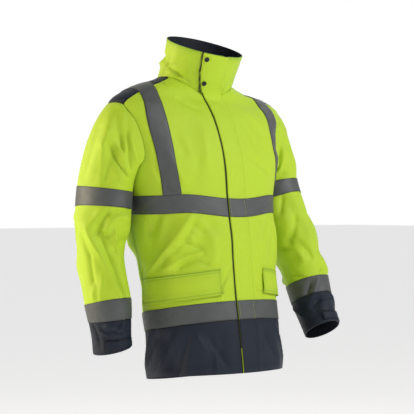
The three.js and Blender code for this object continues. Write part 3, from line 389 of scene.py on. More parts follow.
SLEEVE_FOLDS = {
    Side.RIGHT: Folds([
        (60, -2.5, 40, 0.4, 20, -8),
        (35, -3.0, 20, -0.5, 20, 6),
        (110, -1.6, 75, 0.6, 22, 7),
        (30, 2.4, 75, 4.4, 22, -8),
        (75, 2.3, 110, 3.8, 20, -7),
        (0, 2.6, 30, 5.6, 24, 7),
        (130, 3.6, 80, 4.6, 20, -9),
        (-60, 3.0, -100, 4.6, 24, -8),
        (-120, 4.4, -40, 5.4, 24, 7),
        (60, 5.2, 100, 6.6, 22, -6),
        (20, 8.3, 60, 9.4, 16, -5),
        (100, 8.2, 60, 9.0, 14, 5),
        (15.3, -3.1, 40.8, -2.1, 8, -6, 0, 0, 0.8),
        (40.8, -2.1, 68, -1.3, 8, -6, 0, 0, 0.8),
        (28, -3.1, 54, -2.3, 8, 7.5, 0, 0, 0.8),
        (54, -2.3, 76, -1.4, 8, 7.5, 0, 0, 0.8),
        (3.4, -3.0, 29, -1.8, 12, 7.5, 0, 0, 0.5),
        (29, -1.8, 31, -1, 12, 7.5, 0, 0, 0.5),
        (31, -1.2, 37.4, -0.1, 12, 7.5, 0, 0, 0.6),
        (37.4, -0.1, 41, 0.9, 12, 6, 0, 0, 0.5),
        (34, -1.2, 62.7, -0.55, 7, -9, 0, 0, 0.9),
        (62.7, -0.55, 97, 0, 7, -9, 0, 0, 0.9),
        (41, -1.5, 72, -0.95, 8, 7.5, 0, 0, 0.8),
        (65.4, -2.44, 90, -1.9, 8, 7.5, 0, 0, 0.9),
        (90, -1.9, 112, -1.5, 8, 7.5, 0, 0, 0.9),
        (60, -2.33, 79, -1.66, 9, -7.5, 0, 0, 0.6),
        (79, -1.66, 99.6, -0.55, 9, -7.5, 0, 0, 0.6),
        (44, -2.8, 65, -1.9, 8, -4.5, 0, 0, 0.6),
        (6, -1.9, 9, -0.7, 12, -4.5, 0, 0, 0.4),
        (9, -0.7, -5, 0.7, 12, -4.5, 0, 0, 0.4),
        (47, 0, 44, 0.9, 9, -4.5, 0, 0, 0.5),
        (68, 0, 100, 0.7, 9, 5, 0, 0, 0.5),
        (62, 2.3, 37, 3.2, 9, -7.5, 0, 0, 0.7),
        (42, 2.4, 22, 3.2, 11, 7.5, 0, 0, 0.6),
        (17, 3.1, 47, 4.65, 12, 10.5, 0, 0, 0.8),
        (47, 4.65, 69, 6.05, 12, 10.5, 0, 0, 0.8),
        (69, 6.05, 88, 7, 11, 9, 0, 0, 0.8),
        (7, 3.65, 27, 4.9, 12, -7.5, 0, 0, 0.5),
        (27, 4.9, 22, 6.45, 12, -6, 0, 0, 0.5),
        (40, 3.25, 67, 4.85, 11, -9, 0, 0, 0.7),
        (67, 4.85, 90, 6, 11, -9, 0, 0, 0.7),
        (90, 6, 107, 6.9, 10, -7.5, 0, 0, 0.7),
        (77, 3.1, 97, 4.3, 8, 7, 0, 0, 0.8),
        (97, 4.3, 105, 5.4, 8, 7, 0, 0, 0.8),
        (40, 3.2, 61, 3.6, 7, -5, 0, 0, 0.8),
        (61, 3.6, 77, 3.1, 7, -5, 0, 0, 0.8),
        (48, 3.3, 69, 2.85, 8, 7, 0, 0, 0.8),
        (69, 2.85, 87, 2.6, 8, 7, 0, 0, 0.8),
        (87, 2.6, 119, 2.65, 8, 7, 0, 0, 0.8),
        (54, 2.5, 84, 2.35, 7, -5, 0, 0, 0.5),
        (84, 2.35, 124, 2.1, 7, -5, 0, 0, 0.5),
        (-10, 3.05, -24, 3.65, 10, -6, 0, 0, 0.5),
        (24, 6.2, 15, 6.9, 10, 6, 0, 0, 0.5),
        (82, 6.2, 111, 6.95, 7, -6, 0, 0, 0.8),
        (51, 5.85, 34, 6.95, 10, 4.5, 0, 0, 0.5),
        (-5, 8.05, 16, 9.45, 8, -6, 0, 0, 0.7),
        (31, 8.35, 65, 8.35, 7, 6, 0, 0, 0.7),
        (47, 8.6, 93, 8.85, 7, -6, 0, 0, 0.8),
        (15, 8.45, 52, 9.1, 7, 6, 0, 0, 0.7),
        (90, 8.1, 73, 8.7, 7, 6, 0, 0, 0.7),
        (-40, -2.2, -60, -0.6, 11, -7.5, 0, 0, 0.7),
        (-60, -2.4, -84, -0.8, 11, 7.5, 0, 0, 0.7),
        (-110, 0.2, -70, 0.9, 10, -7.5, 0, 0, 0.7),
        (-50, 2.4, -90, 3.4, 10, 7.5, 0, 0, 0.7),
        (-95, 3.0, -130, 4.1, 10, -7.5, 0, 0, 0.7),
        (-40, 4.3, -85, 5.6, 11, -7.5, 0, 0, 0.7),
        (-85, 5.2, -140, 6.4, 10, 7.5, 0, 0, 0.7),
        (-60, 8.2, -90, 9.2, 8, -6, 0, 0, 0.7),
        (-120, 8.3, -100, 9.0, 8, 6, 0, 0, 0.7),
    ], (MM_PER_SLEEVE_DEGREE, MM_PER_SLEEVE_ROW)),
    Side.LEFT: Folds([
        (80, -2.4, 120, -0.6, 18, -9),
        (50, -2.6, 70, 0.2, 22, 6),
        (100, 0.2, 130, 0.9, 18, -7),
        (120, 2.2, 95, 4.2, 22, -8),
        (40, 3.6, 100, 4.6, 24, 6),
        (20, 4.4, 70, 5.2, 22, -6),
        (-60, 3.0, -100, 4.6, 24, -8),
        (-130, 4.2, -40, 5.0, 24, 7),
        (70, 5.2, 40, 6.6, 22, 6),
        (60, 8.3, 20, 9.0, 15, 6),
        (110, 8.2, 140, 9.4, 14, -5),
        (106, -3.2, 68, -2.5, 7, -6, 0, 0, 0.9),
        (98, -3.0, 60, -2.3, 8, 6, 0, 0, 0.9),
        (78, -2.0, 118, -1.2, 8, -7.5, 0, 0, 0.8),
        (118, -1.2, 132, -0.4, 8, -7.5, 0, 0, 0.8),
        (76, -1.8, 117, -0.4, 10, 7.5, 0, 0, 0.7),
        (36, -3.2, 52, -2.9, 8, -4.5, 0, 0, 0.6),
        (21, -2.8, 30, -2.0, 9, 4.5, 0, 0, 0.6),
        (65, -1.3, 56, 0.6, 13, 4.5, 0, 0, 0.5),
        (40, -1.6, 30, 0.2, 12, -4.5, 0, 0, 0.5),
        (122, 2.1, 142, 3.0, 10, -7.5, 0, 0, 0.6),
        (72, 2.2, 74, 3.4, 13, 4.5, 0, 0, 0.5),
        (105, 3.4, 133, 4.05, 10, -7.5, 0, 0, 0.6),
        (133, 4.05, 161, 4.35, 10, -7.5, 0, 0, 0.6),
        (154, 4.35, 125, 4.5, 9, -7.5, 0, 0, 0.7),
        (125, 4.5, 105, 5.25, 9, -7.5, 0, 0, 0.7),
        (167, 4.6, 136, 4.75, 11, 7.5, 0, 0, 0.6),
        (136, 4.75, 130, 5.4, 11, 7.5, 0, 0, 0.6),
        (89, 5.0, 62, 5.1, 8, -6, 0, 0, 0.7),
        (50, 2.8, 66, 4.0, 11, -6, 0, 0, 0.6),
        (30, 3.4, 56, 4.8, 11, 6, 0, 0, 0.6),
        (70, 5.7, 96, 6.7, 10, -6, 0, 0, 0.7),
        (166, 5.75, 146, 6.85, 8, -6, 0, 0, 0.7),
        (-171, 4.9, -176, 6.05, 10, -4.5, 0, 0, 0.6),
        (128, 7.35, 150, 8.1, 7, -7.5, 0, 0, 0.7),
        (103, 7.2, 130, 8.1, 9, 6, 0, 0, 0.7),
        (147, 9, 108, 8.6, 7, -6, 0, 0, 0.8),
        (108, 8.6, 52, 8.6, 7, -6, 0, 0, 0.8),
        (137, 8.85, 99, 8.95, 7, 6, 0, 0, 0.7),
        (-142, 8.3, -178, 9.2, 7, 6, 0, 0, 0.8),
        (164, 8.3, 169, 9.05, 7, -6, 0, 0, 0.7),
        (-38, -2.4, -62, -0.8, 11, -7.5, 0, 0, 0.7),
        (-64, -2.2, -92, -0.6, 11, 7.5, 0, 0, 0.7),
        (-100, 0.3, -66, 0.9, 10, -7.5, 0, 0, 0.7),
        (-44, 2.5, -86, 3.6, 10, 7.5, 0, 0, 0.7),
        (-92, 3.2, -134, 4.3, 10, -7.5, 0, 0, 0.7),
        (-30, 4.1, -78, 5.4, 11, -7.5, 0, 0, 0.7),
        (-80, 4.9, -132, 6.2, 10, 7.5, 0, 0, 0.7),
        (-56, 8.3, -88, 9.2, 8, -6, 0, 0, 0.7),
    ], (MM_PER_SLEEVE_DEGREE, MM_PER_SLEEVE_ROW)),
}


class BodyForm:
    """The body's surface, in angles from the front's middle towards the wearer's left and heights."""

    def section(self, z: Array) -> tuple[Array, Array, Array, Array]:
        """Half the width, the depths before and behind the centre and the centre's y, at heights."""
        return tuple(along(BODY, "z", z, name) for name in ("width", "front", "back", "centre"))

    def point(self, a: Array, z: Array) -> Array:
        """Places on the bare surface."""
        width, front, back, centre = self.section(z)
        depth = np.where(np.cos(a) >= 0, front, back)
        x = width * signed_power(np.sin(a), 2 / BODY_POWER)
        y = centre - depth * signed_power(np.cos(a), 2 / BODY_POWER)
        return np.stack(np.broadcast_arrays(x, y, z), -1)

    def outside(self, x: Array, y: Array, z: Array) -> Array:
        """How far outside the body's section places are, as a share."""
        width, front, back, centre = self.section(z)
        depth = np.where(y < centre, front, back)
        return (np.abs(x) / width) ** BODY_POWER + (np.abs(y - centre) / depth) ** BODY_POWER - 1

    def normal(self, p: Array) -> Array:
        """Directions out of the bare surface."""
        x, y, z = np.moveaxis(p, -1, 0)
        step = 0.5
        rise = [
            self.outside(x + dx, y + dy, z + dz) - self.outside(x - dx, y - dy, z - dz)
            for dx, dy, dz in np.eye(3) * step
        ]
        return unit(np.stack(rise, -1))

    def angle_from_x(self, x: Array | float, z: Array) -> Array:
        """The angle, in front of the side, at which the surface is x from the middle."""
        return np.arcsin(np.minimum(1, x / self.section(z)[0]) ** (BODY_POWER / 2))

    def angle_from_y(self, y: Array, z: Array) -> Array:
        """The angle at which the surface has this y."""
        _, front, back, centre = self.section(z)
        depth = np.where(y < centre, front, back)
        share = np.minimum(1, np.abs(y - centre) / depth) ** (BODY_POWER / 2)
        return np.arccos(np.where(y < centre, share, -share))

    def height_over(self, x: Array, y: Array) -> Array:
        """The shoulder's height over places in plan."""
        low = np.full(np.broadcast(x, y).shape, LOWEST_SHOULDER)
        return root(lambda z: self.outside(x, y, z), low, np.full(low.shape, TOP_OF_BODY))

    def shift(self, p: Array) -> Array:
        """How far a shoulder's points are raised from the even shape."""
        right, left = SHOULDER_SHIFT[Side.RIGHT], SHOULDER_SHIFT[Side.LEFT]
        x = p[..., 0]
        raised = [height * hump(np.abs(x), at, width) for at, width, height in (left, right)]
        return np.where(x > 0, *raised) * smooth(p[..., 2], *SHOULDER_STRETCH)

    def fold(self, a: Array, z: Array) -> Array:
        """The folds' depth, calm beside the zip."""
        degrees = np.degrees(a)
        return (1 - hump(degrees, 0, CALM_DEGREES_AT_ZIP)) * BODY_FOLDS.depth(degrees, z)

    def grid(self, a: Array, z: Array) -> Grid:
        """The cloth at angles and heights, with folds and shoulders."""
        p = self.point(a, z)
        n = self.normal(p)
        moved = p + n * self.fold(a, z)[..., None]
        moved[..., 2] += self.shift(p)
        return Grid(moved, n)

    def shoulder(self, x: Array, y: Array) -> Grid:
        """The shoulder's cloth over places in plan."""
        p = np.stack([x, y, self.height_over(x, y)], -1)
        n = self.normal(p)
        p[..., 2] += self.shift(p)
        return Grid(p, n)


@dataclass
class Grid:
    """Rows and columns of places on a cloth's middle surface and the directions out of it."""

    p: Array
    n: Array
    closed: bool = False

    def part(self, rows: slice, columns: slice = slice(None)) -> Grid:
        """A rectangle of the grid's rows and columns."""
        return Grid(self.p[rows, columns], self.n[rows, columns], self.closed and columns == slice(None))

    def raised(self, by: Array | float) -> Grid:
        """The same cloth moved out by a distance, which may differ from node to node."""
        by = np.asarray(by, float)
        return replace(self, p=self.p + self.n * (by[..., None] if by.ndim else by))

    def reversed(self, axis: int) -> Grid:
        """The grid with its rows or its columns in the other order."""
        return replace(self, p=np.flip(self.p, axis), n=np.flip(self.n, axis))

    def then(self, other: Grid, axis: int) -> Grid:
        """This grid with another after it, by rows or by columns."""
        return replace(self, p=np.concatenate([self.p, other.p], axis), n=np.concatenate([self.n, other.n], axis))

    def walked(self, axis: int) -> Array:
        """The distance walked from the near edge to each node, along rows or columns."""
        steps = np.linalg.norm(np.diff(self.p, axis=axis), axis=-1)
        return np.concatenate([np.zeros_like(np.take(steps, [0], axis)), np.cumsum(steps, axis)], axis)

    def from_edge(self, edge: Edge) -> Array:
        """Each node's distance along the cloth from an edge."""
        axis, far = edge.value
        walked = self.walked(axis)
        return np.take(walked, [-1], axis) - walked if far else walked

    def from_column(self, column: int) -> Array:
        """Each node's distance along the cloth from a column."""
        walked = self.walked(1)
        return np.abs(walked - walked[:, [column]])

    def facing(self) -> Grid:
        """The grid with directions read from its own slopes."""
        p = np.concatenate([self.p[:, -1:], self.p, self.p[:, :1]], 1) if self.closed else self.p
        right = np.gradient(p, axis=1)[:, 1:-1] if self.closed else np.gradient(p, axis=1)
        n = unit(np.cross(right, np.gradient(self.p, axis=0)))
        flip = np.where((n * self.n).sum(-1, keepdims=True) < 0, -1, 1)
        return replace(self, n=n * flip)

    def sewn(self, *edges: Edge, stitched: float = 6.0) -> Grid:
        """The cloth rolled in at its sewn edges, with a groove under a row of stitches.

        Args:
            edges: The sewn edges.
            stitched: The stitches' distance from the seam.

        Returns:
            The grid with the relief in it.
        """
        relief = np.zeros(self.p.shape[:2])
        for edge in edges:
            away = self.from_edge(edge)
            relief -= 1.0 * hump(away, 0, 1.4) + 0.3 * hump(away, stitched, 1.3)
        return self.raised(relief)

    def beside(self, edge: Edge, distance: float, start: float = 0.0, stop: float = 1.0) -> Grid:
        """One row of nodes that runs beside an edge.

        Args:
            edge: The edge.
            distance: How far in from the edge the row runs.
            start: Where the row starts, as a share of the edge.
            stop: Where it ends.

        Returns:
            A grid of one row.
        """
        axis, _ = edge.value
        away = self.from_edge(edge) if axis == 0 else self.from_edge(edge).T
        p, n = (self.p, self.n) if axis == 0 else (self.p.swapaxes(0, 1), self.n.swapaxes(0, 1))
        if edge.value[1]:
            away, p, n = away[::-1], p[::-1], n[::-1]
        count = p.shape[1]
        chosen = range(int(start * (count - 1)), int(stop * (count - 1)) + 1)
        at = [[np.interp(distance, away[:, j], s[:, j, k]) for k in range(3)] for s in (p, n) for j in chosen]
        line = np.array(at).reshape(2, 1, len(chosen), 3)
        if self.closed and axis == 0:
            line = np.concatenate([line, line[:, :, :1]], 2)
        return Grid(line[0], unit(line[1]))

    def cut(self) -> tuple[float, float, float]:
        """The cut's width, length and area, laid flat, in metres and square metres."""
        p = np.concatenate([self.p, self.p[:, :1]], 1) if self.closed else self.p
        a, b, c, d = p[:-1, :-1], p[:-1, 1:], p[1:, 1:], p[1:, :-1]
        area = np.linalg.norm(np.cross(c - a, d - b), axis=-1).sum() / 2
        width = np.linalg.norm(np.diff(p, axis=1), axis=-1).sum(1).max()
        length = np.linalg.norm(np.diff(p, axis=0), axis=-1).sum(0).max()
        return width * MM, length * MM, area * MM * MM


BODY_FORM = BodyForm()
Stretch = tuple[str, str, float, bool, bool]


def shares(length: float, start: bool = False, stop: bool = False) -> Array:
    """Divides a stretch of cloth, closer at its sewn ends.

    Args:
        length: The stretch's usual length.
        start: Whether its start is sewn.
        stop: Whether its end is sewn.

    Returns:
        The divisions, from 0 to 1.
    """
    first = SEAM_STATIONS if start else np.zeros(1)
    last = length - SEAM_STATIONS[::-1] if stop else np.array([length])
    cells = max(1, round((last[0] - first[-1]) / CELL))
    middle = np.linspace(first[-1], last[0], cells + 1)
    return np.concatenate([first[:-1], middle, last[1:]]) / length


def off_middle(name: str, pulled: float = 0.0) -> Line:
    """A line of the front, as an angle by height, pulled outwards above the chest tape on one side."""
    return lambda z: BODY_FORM.angle_from_x(
        along(LINES, "z", z, name) + pulled * hump(z, LEFT_BRACE_AT, LEFT_BRACE_HEIGHT), z)


def off_back(name: str) -> Line:
    """A line of the back, as an angle by height."""
    return lambda z: math.pi - BODY_FORM.angle_from_x(along(LINES, "z", z, name), z)


def side_line(armhole: Table) -> Line:
    """The side seam and, above the underarm, an edge of the armhole."""
    def line(z: Array) -> Array:
        """The angle at a height."""
        seam = lerp(SIDE_SEAM_TOP, SIDE_SEAM, smooth(-z, *SIDE_SEAM_SWINGS))
        return np.where(z <= UNDERARM_Z, seam, BODY_FORM.angle_from_y(along(armhole, "z", z, "y"), z))

    return line


ZIP_HALF_WIDTH = 7.0
FLAP_HALF_WIDTH = 32.0
POCKET_OUTER_SHARE = 0.9
RIGHT_FRONT_LINES: dict[str, Line] = {
    "zip": lambda z: BODY_FORM.angle_from_x(ZIP_HALF_WIDTH, z),
    "flap": lambda z: BODY_FORM.angle_from_x(FLAP_HALF_WIDTH, z),
    "neck": off_middle("pocket_and_neck"),
    "inner": off_middle("brace_inner"),
    "outer": off_middle("brace_outer"),
    "pocket": lambda z: lerp(RIGHT_FRONT_LINES["outer"](z), RIGHT_FRONT_LINES["side"](z), POCKET_OUTER_SHARE),
    "side": side_line(ARMHOLE_FRONT),
}
FRONT_LINES = {
    Side.RIGHT: RIGHT_FRONT_LINES,
    Side.LEFT: RIGHT_FRONT_LINES | {
        "inner": off_middle("brace_inner", LEFT_BRACE["brace_inner"]),
        "outer": off_middle("brace_outer", LEFT_BRACE["brace_outer"]),
    },
}
BACK_LINES: dict[str, Line] = {
    "middle": lambda z: np.full(np.shape(z), math.pi),
    "neck": off_back("back_neck"),
    "inner": off_back("brace_inner"),
    "outer": off_back("brace_outer"),
    "side": side_line(ARMHOLE_BACK),
}
FRONT_COLUMNS: list[Stretch] = [
    ("zip", "flap", 25, False, False),
    ("flap", "neck", 55, False, False),
    ("neck", "inner", 72, False, False),
    ("inner", "outer", 42, False, False),
    ("outer", "side", 90, False, True),
]
BACK_COLUMNS: list[Stretch] = [
    ("middle", "neck", 78, False, False),
    ("neck", "inner", 72, False, False),
    ("inner", "outer", 42, False, False),
    ("outer", "side", 90, False, True),
]
POCKET_COLUMNS: list[Stretch] = [("neck", "pocket", 190, True, True)]


def to_side(a: Array) -> Array:
    """The angle from the front's middle, as far as the side seam."""
    return np.minimum(np.abs(a), SIDE_SEAM)


def hem_seam(a: Array) -> Array:
    """The seam between the yellow body and its navy hem."""
    return -688 + 27 * np.cos(a)


def chest_tape_top(a: Array) -> Array:
    """The chest tape's upper edge."""
    return -330 - 8 * hump(a, 0, 0.35) + 4 * hump(np.abs(a), 0.7, 0.3)


LEVELS: dict[str, Line] = {
    "hem": lambda a: -824 + 21 * np.cos(a) + 7 * np.sin(a) ** 2,
    "hem_seam": hem_seam,
    "hem_tape_top": lambda a: hem_seam(a) + TAPE_WIDTH,
    "pocket_bottom": lambda a: -587 - 22 * to_side(a),
    "pocket_top": lambda a: -521 - 20 * to_side(a),
    "chest_tape_bottom": lambda a: chest_tape_top(a) - TAPE_WIDTH,
    "chest_tape_top": chest_tape_top,
    "underarm": lambda a: np.full(np.shape(a), UNDERARM_Z),
}
HEM_ROWS: list[Stretch] = [("hem", "hem_seam", 128, True, True)]
HEM_TAPE_ROWS: list[Stretch] = [("hem_seam", "hem_tape_top", TAPE_WIDTH, True, True)]
MIDDLE_ROWS: list[Stretch] = [("hem_tape_top", "chest_tape_bottom", 260, False, False)]
CHEST_TAPE_ROWS: list[Stretch] = [("chest_tape_bottom", "chest_tape_top", TAPE_WIDTH, True, True)]
UNDERARM_ROWS: list[Stretch] = [("chest_tape_top", "underarm", 66, False, False)]
POCKET_ROWS: list[Stretch] = [("pocket_bottom", "pocket_top", 66, True, True)]
UPPER_SHARES = shares(215, False, True)
YOKE_SHARES = shares(85, True, True)


def divided(stretches: list[Stretch]) -> list[tuple[str, str, Array]]:
    """The stretches with their divisions, each division once."""
    return [
        (start, end, shares(length, *sewn)[0 if i == 0 else 1:])
        for i, (start, end, length, *sewn) in enumerate(stretches)
    ]


def count(stretches: list[Stretch]) -> int:
    """How many cells a list of stretches has."""
    return sum(len(part) for _, _, part in divided(stretches)) - 1


class Panels:
    """The body's grids, from which its pieces are cut."""

    def angles(self, z: Array, columns: list[Stretch], lines: dict[str, Line]) -> Array:
        """Each column's angle at heights, whose last axis runs over the columns."""
        found, start = np.empty(z.shape), 0
        for first, last, part in divided(columns):
            stop = start + len(part)
            here = z[..., start:stop]
            found[..., start:stop] = lerp(lines[first](here), lines[last](here), part)
            start = stop
        return found

    def block(self, side: Side, columns: list[Stretch], lines: dict[str, Line], rows: list[Stretch]) -> Grid:
        """Rows of one side between level lines.

        Args:
            side: The wearer's side.
            columns: The columns' stretches.
            lines: The lines that bound them.
            rows: The rows' stretches.

        Returns:
            The grid, from the lowest row up.
        """
        levels = []
        for low, high, part in divided(rows):
            share = part[:, None]
            z = np.broadcast_to(lerp(LEVELS[low](SIDE_SEAM), LEVELS[high](SIDE_SEAM), share),
                                (len(part), count(columns) + 1))
            for _ in range(3):
                a = self.angles(z, columns, lines)
                z = lerp(LEVELS[low](a), LEVELS[high](a), share)
            levels.append(z)
        z = np.concatenate(levels)
        return BODY_FORM.grid(side.value * self.angles(z, columns, lines), z)

    def upper(self, side: Side, front: bool) -> Grid:
        """The rows above the underarm, which end at the neck seam, the yoke's seam and the armhole's corner."""
        columns, lines = (FRONT_COLUMNS, FRONT_LINES[side]) if front else (BACK_COLUMNS, BACK_LINES)
        neck_column = count(columns[:2 if front else 1])
        total = count(columns) + 1

        def past(z: Array) -> Array:
            """How far inside the neck seam or past the yoke's seam the columns are."""
            x, y, _ = np.moveaxis(BODY_FORM.point(self.angles(z, columns, lines), z), -1, 0)
            depth = np.where(y < 0, NECK_FRONT, NECK_BACK)
            inside = 1 - (np.abs(x) / NECK_WIDTH) ** NECK_POWER - (np.abs(y) / depth) ** NECK_POWER
            seam = y - along(YOKE_FRONT, "x", x, "y") if front else along(YOKE_BACK, "x", x, "y") - y
            return np.where(np.arange(total) <= neck_column, inside, seam)

        tops = root(past, np.full(total, LOWEST_SHOULDER), np.full(total, TOP_OF_BODY - 1))
        tops[-1] = (ARMHOLE_FRONT if front else ARMHOLE_BACK)["z"][-1]
        z = lerp(UNDERARM_Z, tops, UPPER_SHARES[1:, None])
        return BODY_FORM.grid(side.value * self.angles(z, columns, lines), z)

    def yoke(self, side: Side, front: Grid, back: Grid) -> Grid:
        """The yoke: columns from neck to armhole, rows from its front seam over the shoulder to its back seam."""
        first, last = front.p[-1, count(FRONT_COLUMNS[:2]):], back.p[-1, count(BACK_COLUMNS[:1]):]
        t = YOKE_SHARES[1:-1, None]
        out = np.linspace(0, 1, len(first))
        middle = (np.abs(first[:, 0]) + np.abs(last[:, 0])) / 2
        reach = (SHOULDER_TIP_X - middle) * out**4 + (NECK_WIDTH - middle) * (1 - out) ** 4
        x = lerp(np.abs(first[:, 0]), np.abs(last[:, 0]), t) + 4 * t * (1 - t) * reach
        over = BODY_FORM.shoulder(side.value * x, lerp(first[:, 1], last[:, 1], t))
        ends = [g.part(slice(-1, None), slice(g.p.shape[1] - len(first), None)) for g in (front, back)]
        return ends[0].then(over, 0).then(ends[1], 0)


SLEEVES = {
    Side.RIGHT: table("row x y z across deep", [
        (0, 281, 26, -262, 70, 88),
        (1, 288, 29, -312, 69, 85),
        (2, 292, 30, -362, 69, 86),
        (3, 297, 28, -410, 69, 86),
        (4, 300, 31, -455, 62, 76),
        (5, 301, 29, -500, 58, 70),
        (6, 300, 15, -560, 58, 68),
        (7, 298, 1, -614, 59, 67),
        (8, 295, -5, -664, 54, 62),
        (9, 292, -7, -702, 51, 57),
        (10, 289, -8, -742, 49, 55),
    ]),
    Side.LEFT: table("row x y z across deep", [
        (0, 281, 4, -250, 70, 86),
        (1, 284, -3, -295, 69, 84),
        (2, 288, -17, -344, 69, 85),
        (3, 294, -40, -400, 69, 84),
        (4, 301, -72, -457, 63, 75),
        (5, 307, -102, -513, 59, 70),
        (6, 311, -119, -556, 58, 66),
        (7, 312, -127, -576, 58, 65),
        (8, 312, -145, -623, 55, 61),
        (9, 311, -165, -661, 51, 57),
        (10, 309, -193, -708, 48, 54),
    ]),
}
CUFF_END_TILT = {Side.RIGHT: 9.0, Side.LEFT: 0.0}
BAND_TOP, BAND_BOTTOM, LOWER_BAND_TOP, CUFF_SEAM, SLEEVE_END = 1, 2, 7, 8, 10
CAP_ROWS = 4.2
CAP_HEART = (262.0, 0.0, -160.0)
CAP_LEAVES = {"low": (0.5, 0.86), "top": (0.8, 0.74), "under": (0.95, 0.2)}
CAP_LENGTH = 175.0
CLEARANCE, CLEAR_FROM, CLEAR_TO = 7.0, 215.0, 270.0


@dataclass
class Arm:
    """One sleeve's surface: angles round from the outside towards the front, and rows of its table."""

    side: Side

    def ring(self, v: Array, phi: Array) -> Grid:
        """Places on the bare tube at rows and angles, and directions out of it."""
        rows, sign = SLEEVES[self.side], self.side.value
        v = np.asarray(v, float)[:, None]

        def centre(s: Array) -> Array:
            """The arm's centre line."""
            x, y, z = (along(rows, "row", s[:, 0], name) for name in "xyz")
            return np.stack([sign * x, y, z], -1)

        down = unit(centre(np.minimum(v + 0.05, 10)) - centre(np.maximum(v - 0.05, 0)))
        out = unit(np.array([sign, 0, 0]) - sign * down[:, :1] * down)
        ahead = unit(np.cross(out, down))
        ahead = ahead * np.where(ahead[:, 1:2] > 0, -1, 1)
        across, deep = (along(rows, "row", v, name)[..., None] for name in ("across", "deep"))
        cos, sin = np.cos(phi)[None, :, None], np.sin(phi)[None, :, None]
        out, ahead = out[:, None], ahead[:, None]
        p = centre(v)[:, None] + out * cos * across + ahead * sin * deep
        return Grid(p, unit(out * cos / across + ahead * sin / deep), True)

    def clear_of_body(self, p: Array) -> Array:
        """Keeps places outside the body and its folds, as cloth pressed against cloth."""
        x, y, z = np.moveaxis(p, -1, 0)
        sign = self.side.value
        width, front, back, centre = BODY_FORM.section(z)
        share = np.abs(y - centre) / np.where(y < centre, front, back)
        beside = (-z >= CLEAR_FROM) & (share < 1)
        share = np.where(beside, share, 0)
        fold = np.maximum(0, BODY_FORM.fold(sign * BODY_FORM.angle_from_y(y, z), z))
        apart = CLEARANCE * smooth(-z, CLEAR_FROM, CLEAR_TO)
        half = width * (1 - share**BODY_POWER) ** (1 / BODY_POWER) + apart + fold
        moved = sign * np.maximum(sign * x, half)
        return np.stack([np.where(beside, moved, x), y, z], -1)

    def creased(self, bare: Grid, phi: Array, v: Array, settled: Array | float = 1.0) -> Grid:
        """The bare tube with its folds, clear of the body."""
        depth = SLEEVE_FOLDS[self.side].depth(np.degrees(phi)[None, :], np.asarray(v, float)[:, None])
        p = bare.p + bare.n * (depth * settled)[..., None]
        return replace(bare, p=self.clear_of_body(p))

    def angles(self, hole: Grid) -> Array:
        """Each armhole node's angle round the arm."""
        walked = hole.then(hole.part(slice(None), slice(0, 1)), 1).walked(1)[0]
        return math.pi - 2 * math.pi * walked[:-1] / walked[-1]

    def cap(self, hole: Grid, phi: Array) -> Grid:
        """The sleeve's head, from the armhole's own points to the tube's first row."""
        sign = self.side.value
        t = shares(CAP_LENGTH, True, False)[:, None, None]
        end = self.ring(np.array([BAND_TOP]), phi)
        first = self.ring(np.array([BAND_TOP + 0.001]), phi)
        down = unit(first.p - end.p).mean(1, keepdims=True)
        span = np.linalg.norm(end.p - hole.p, axis=-1, keepdims=True)
        top = (1 + np.cos(phi)) / 2
        out, fall = (lerp(lerp(a, b, top), c, (1 - top) ** 4) for a, b, c in zip(*CAP_LEAVES.values()))
        leave = np.stack([sign * out, 0 * out, -fall], -1)[None]
        swing = 3 * t**2 - 2 * t**3
        p = (1 - swing) * hole.p + swing * end.p
        p = p + span * ((t**3 - 2 * t**2 + t) * leave + (t**3 - t**2) * unit(down))
        heart = np.array(CAP_HEART) * (sign, 1, 1)
        n = unit(lerp(unit(p - heart), end.n, t))
        settled = np.minimum(1, t[..., 0] * 7 / 3)
        grid = self.creased(Grid(p, n, True), phi, BAND_TOP - (1 - t[:, 0, 0]) * CAP_ROWS, settled).facing()
        sunk = 2.6 * hump(grid.from_edge(Edge.BOTTOM), 0, 3.0)[..., None]
        grid = replace(grid, p=grid.p - sunk * hole.n)
        past = unit(np.cross(np.gradient(hole.p, axis=1), hole.n))
        past = past * np.sign((past * (grid.p[6:7] - hole.p)).sum(-1, keepdims=True))
        tucked = Grid(hole.p - 3.4 * hole.n - 6 * past, grid.n[:1], True)
        return tucked.then(grid, 0)

    def tube(self, phi: Array, rows: Array) -> Grid:
        """The sleeve's tube at rows of its table."""
        grid = self.creased(self.ring(rows, phi), phi, rows)
        tilt = CUFF_END_TILT[self.side] * np.cos(phi) * smooth(rows, SLEEVE_END - 1, SLEEVE_END)[:, None]
        grid.p[..., 2] -= tilt
        return grid.facing()


def tube_rows(first: int, last: int, start: bool = True, stop: bool = True) -> Array:
    """Rows of a sleeve's table between two of its stations, closer at sewn ends."""
    return lerp(first, last, shares(MM_PER_SLEEVE_ROW * (last - first), start, stop))


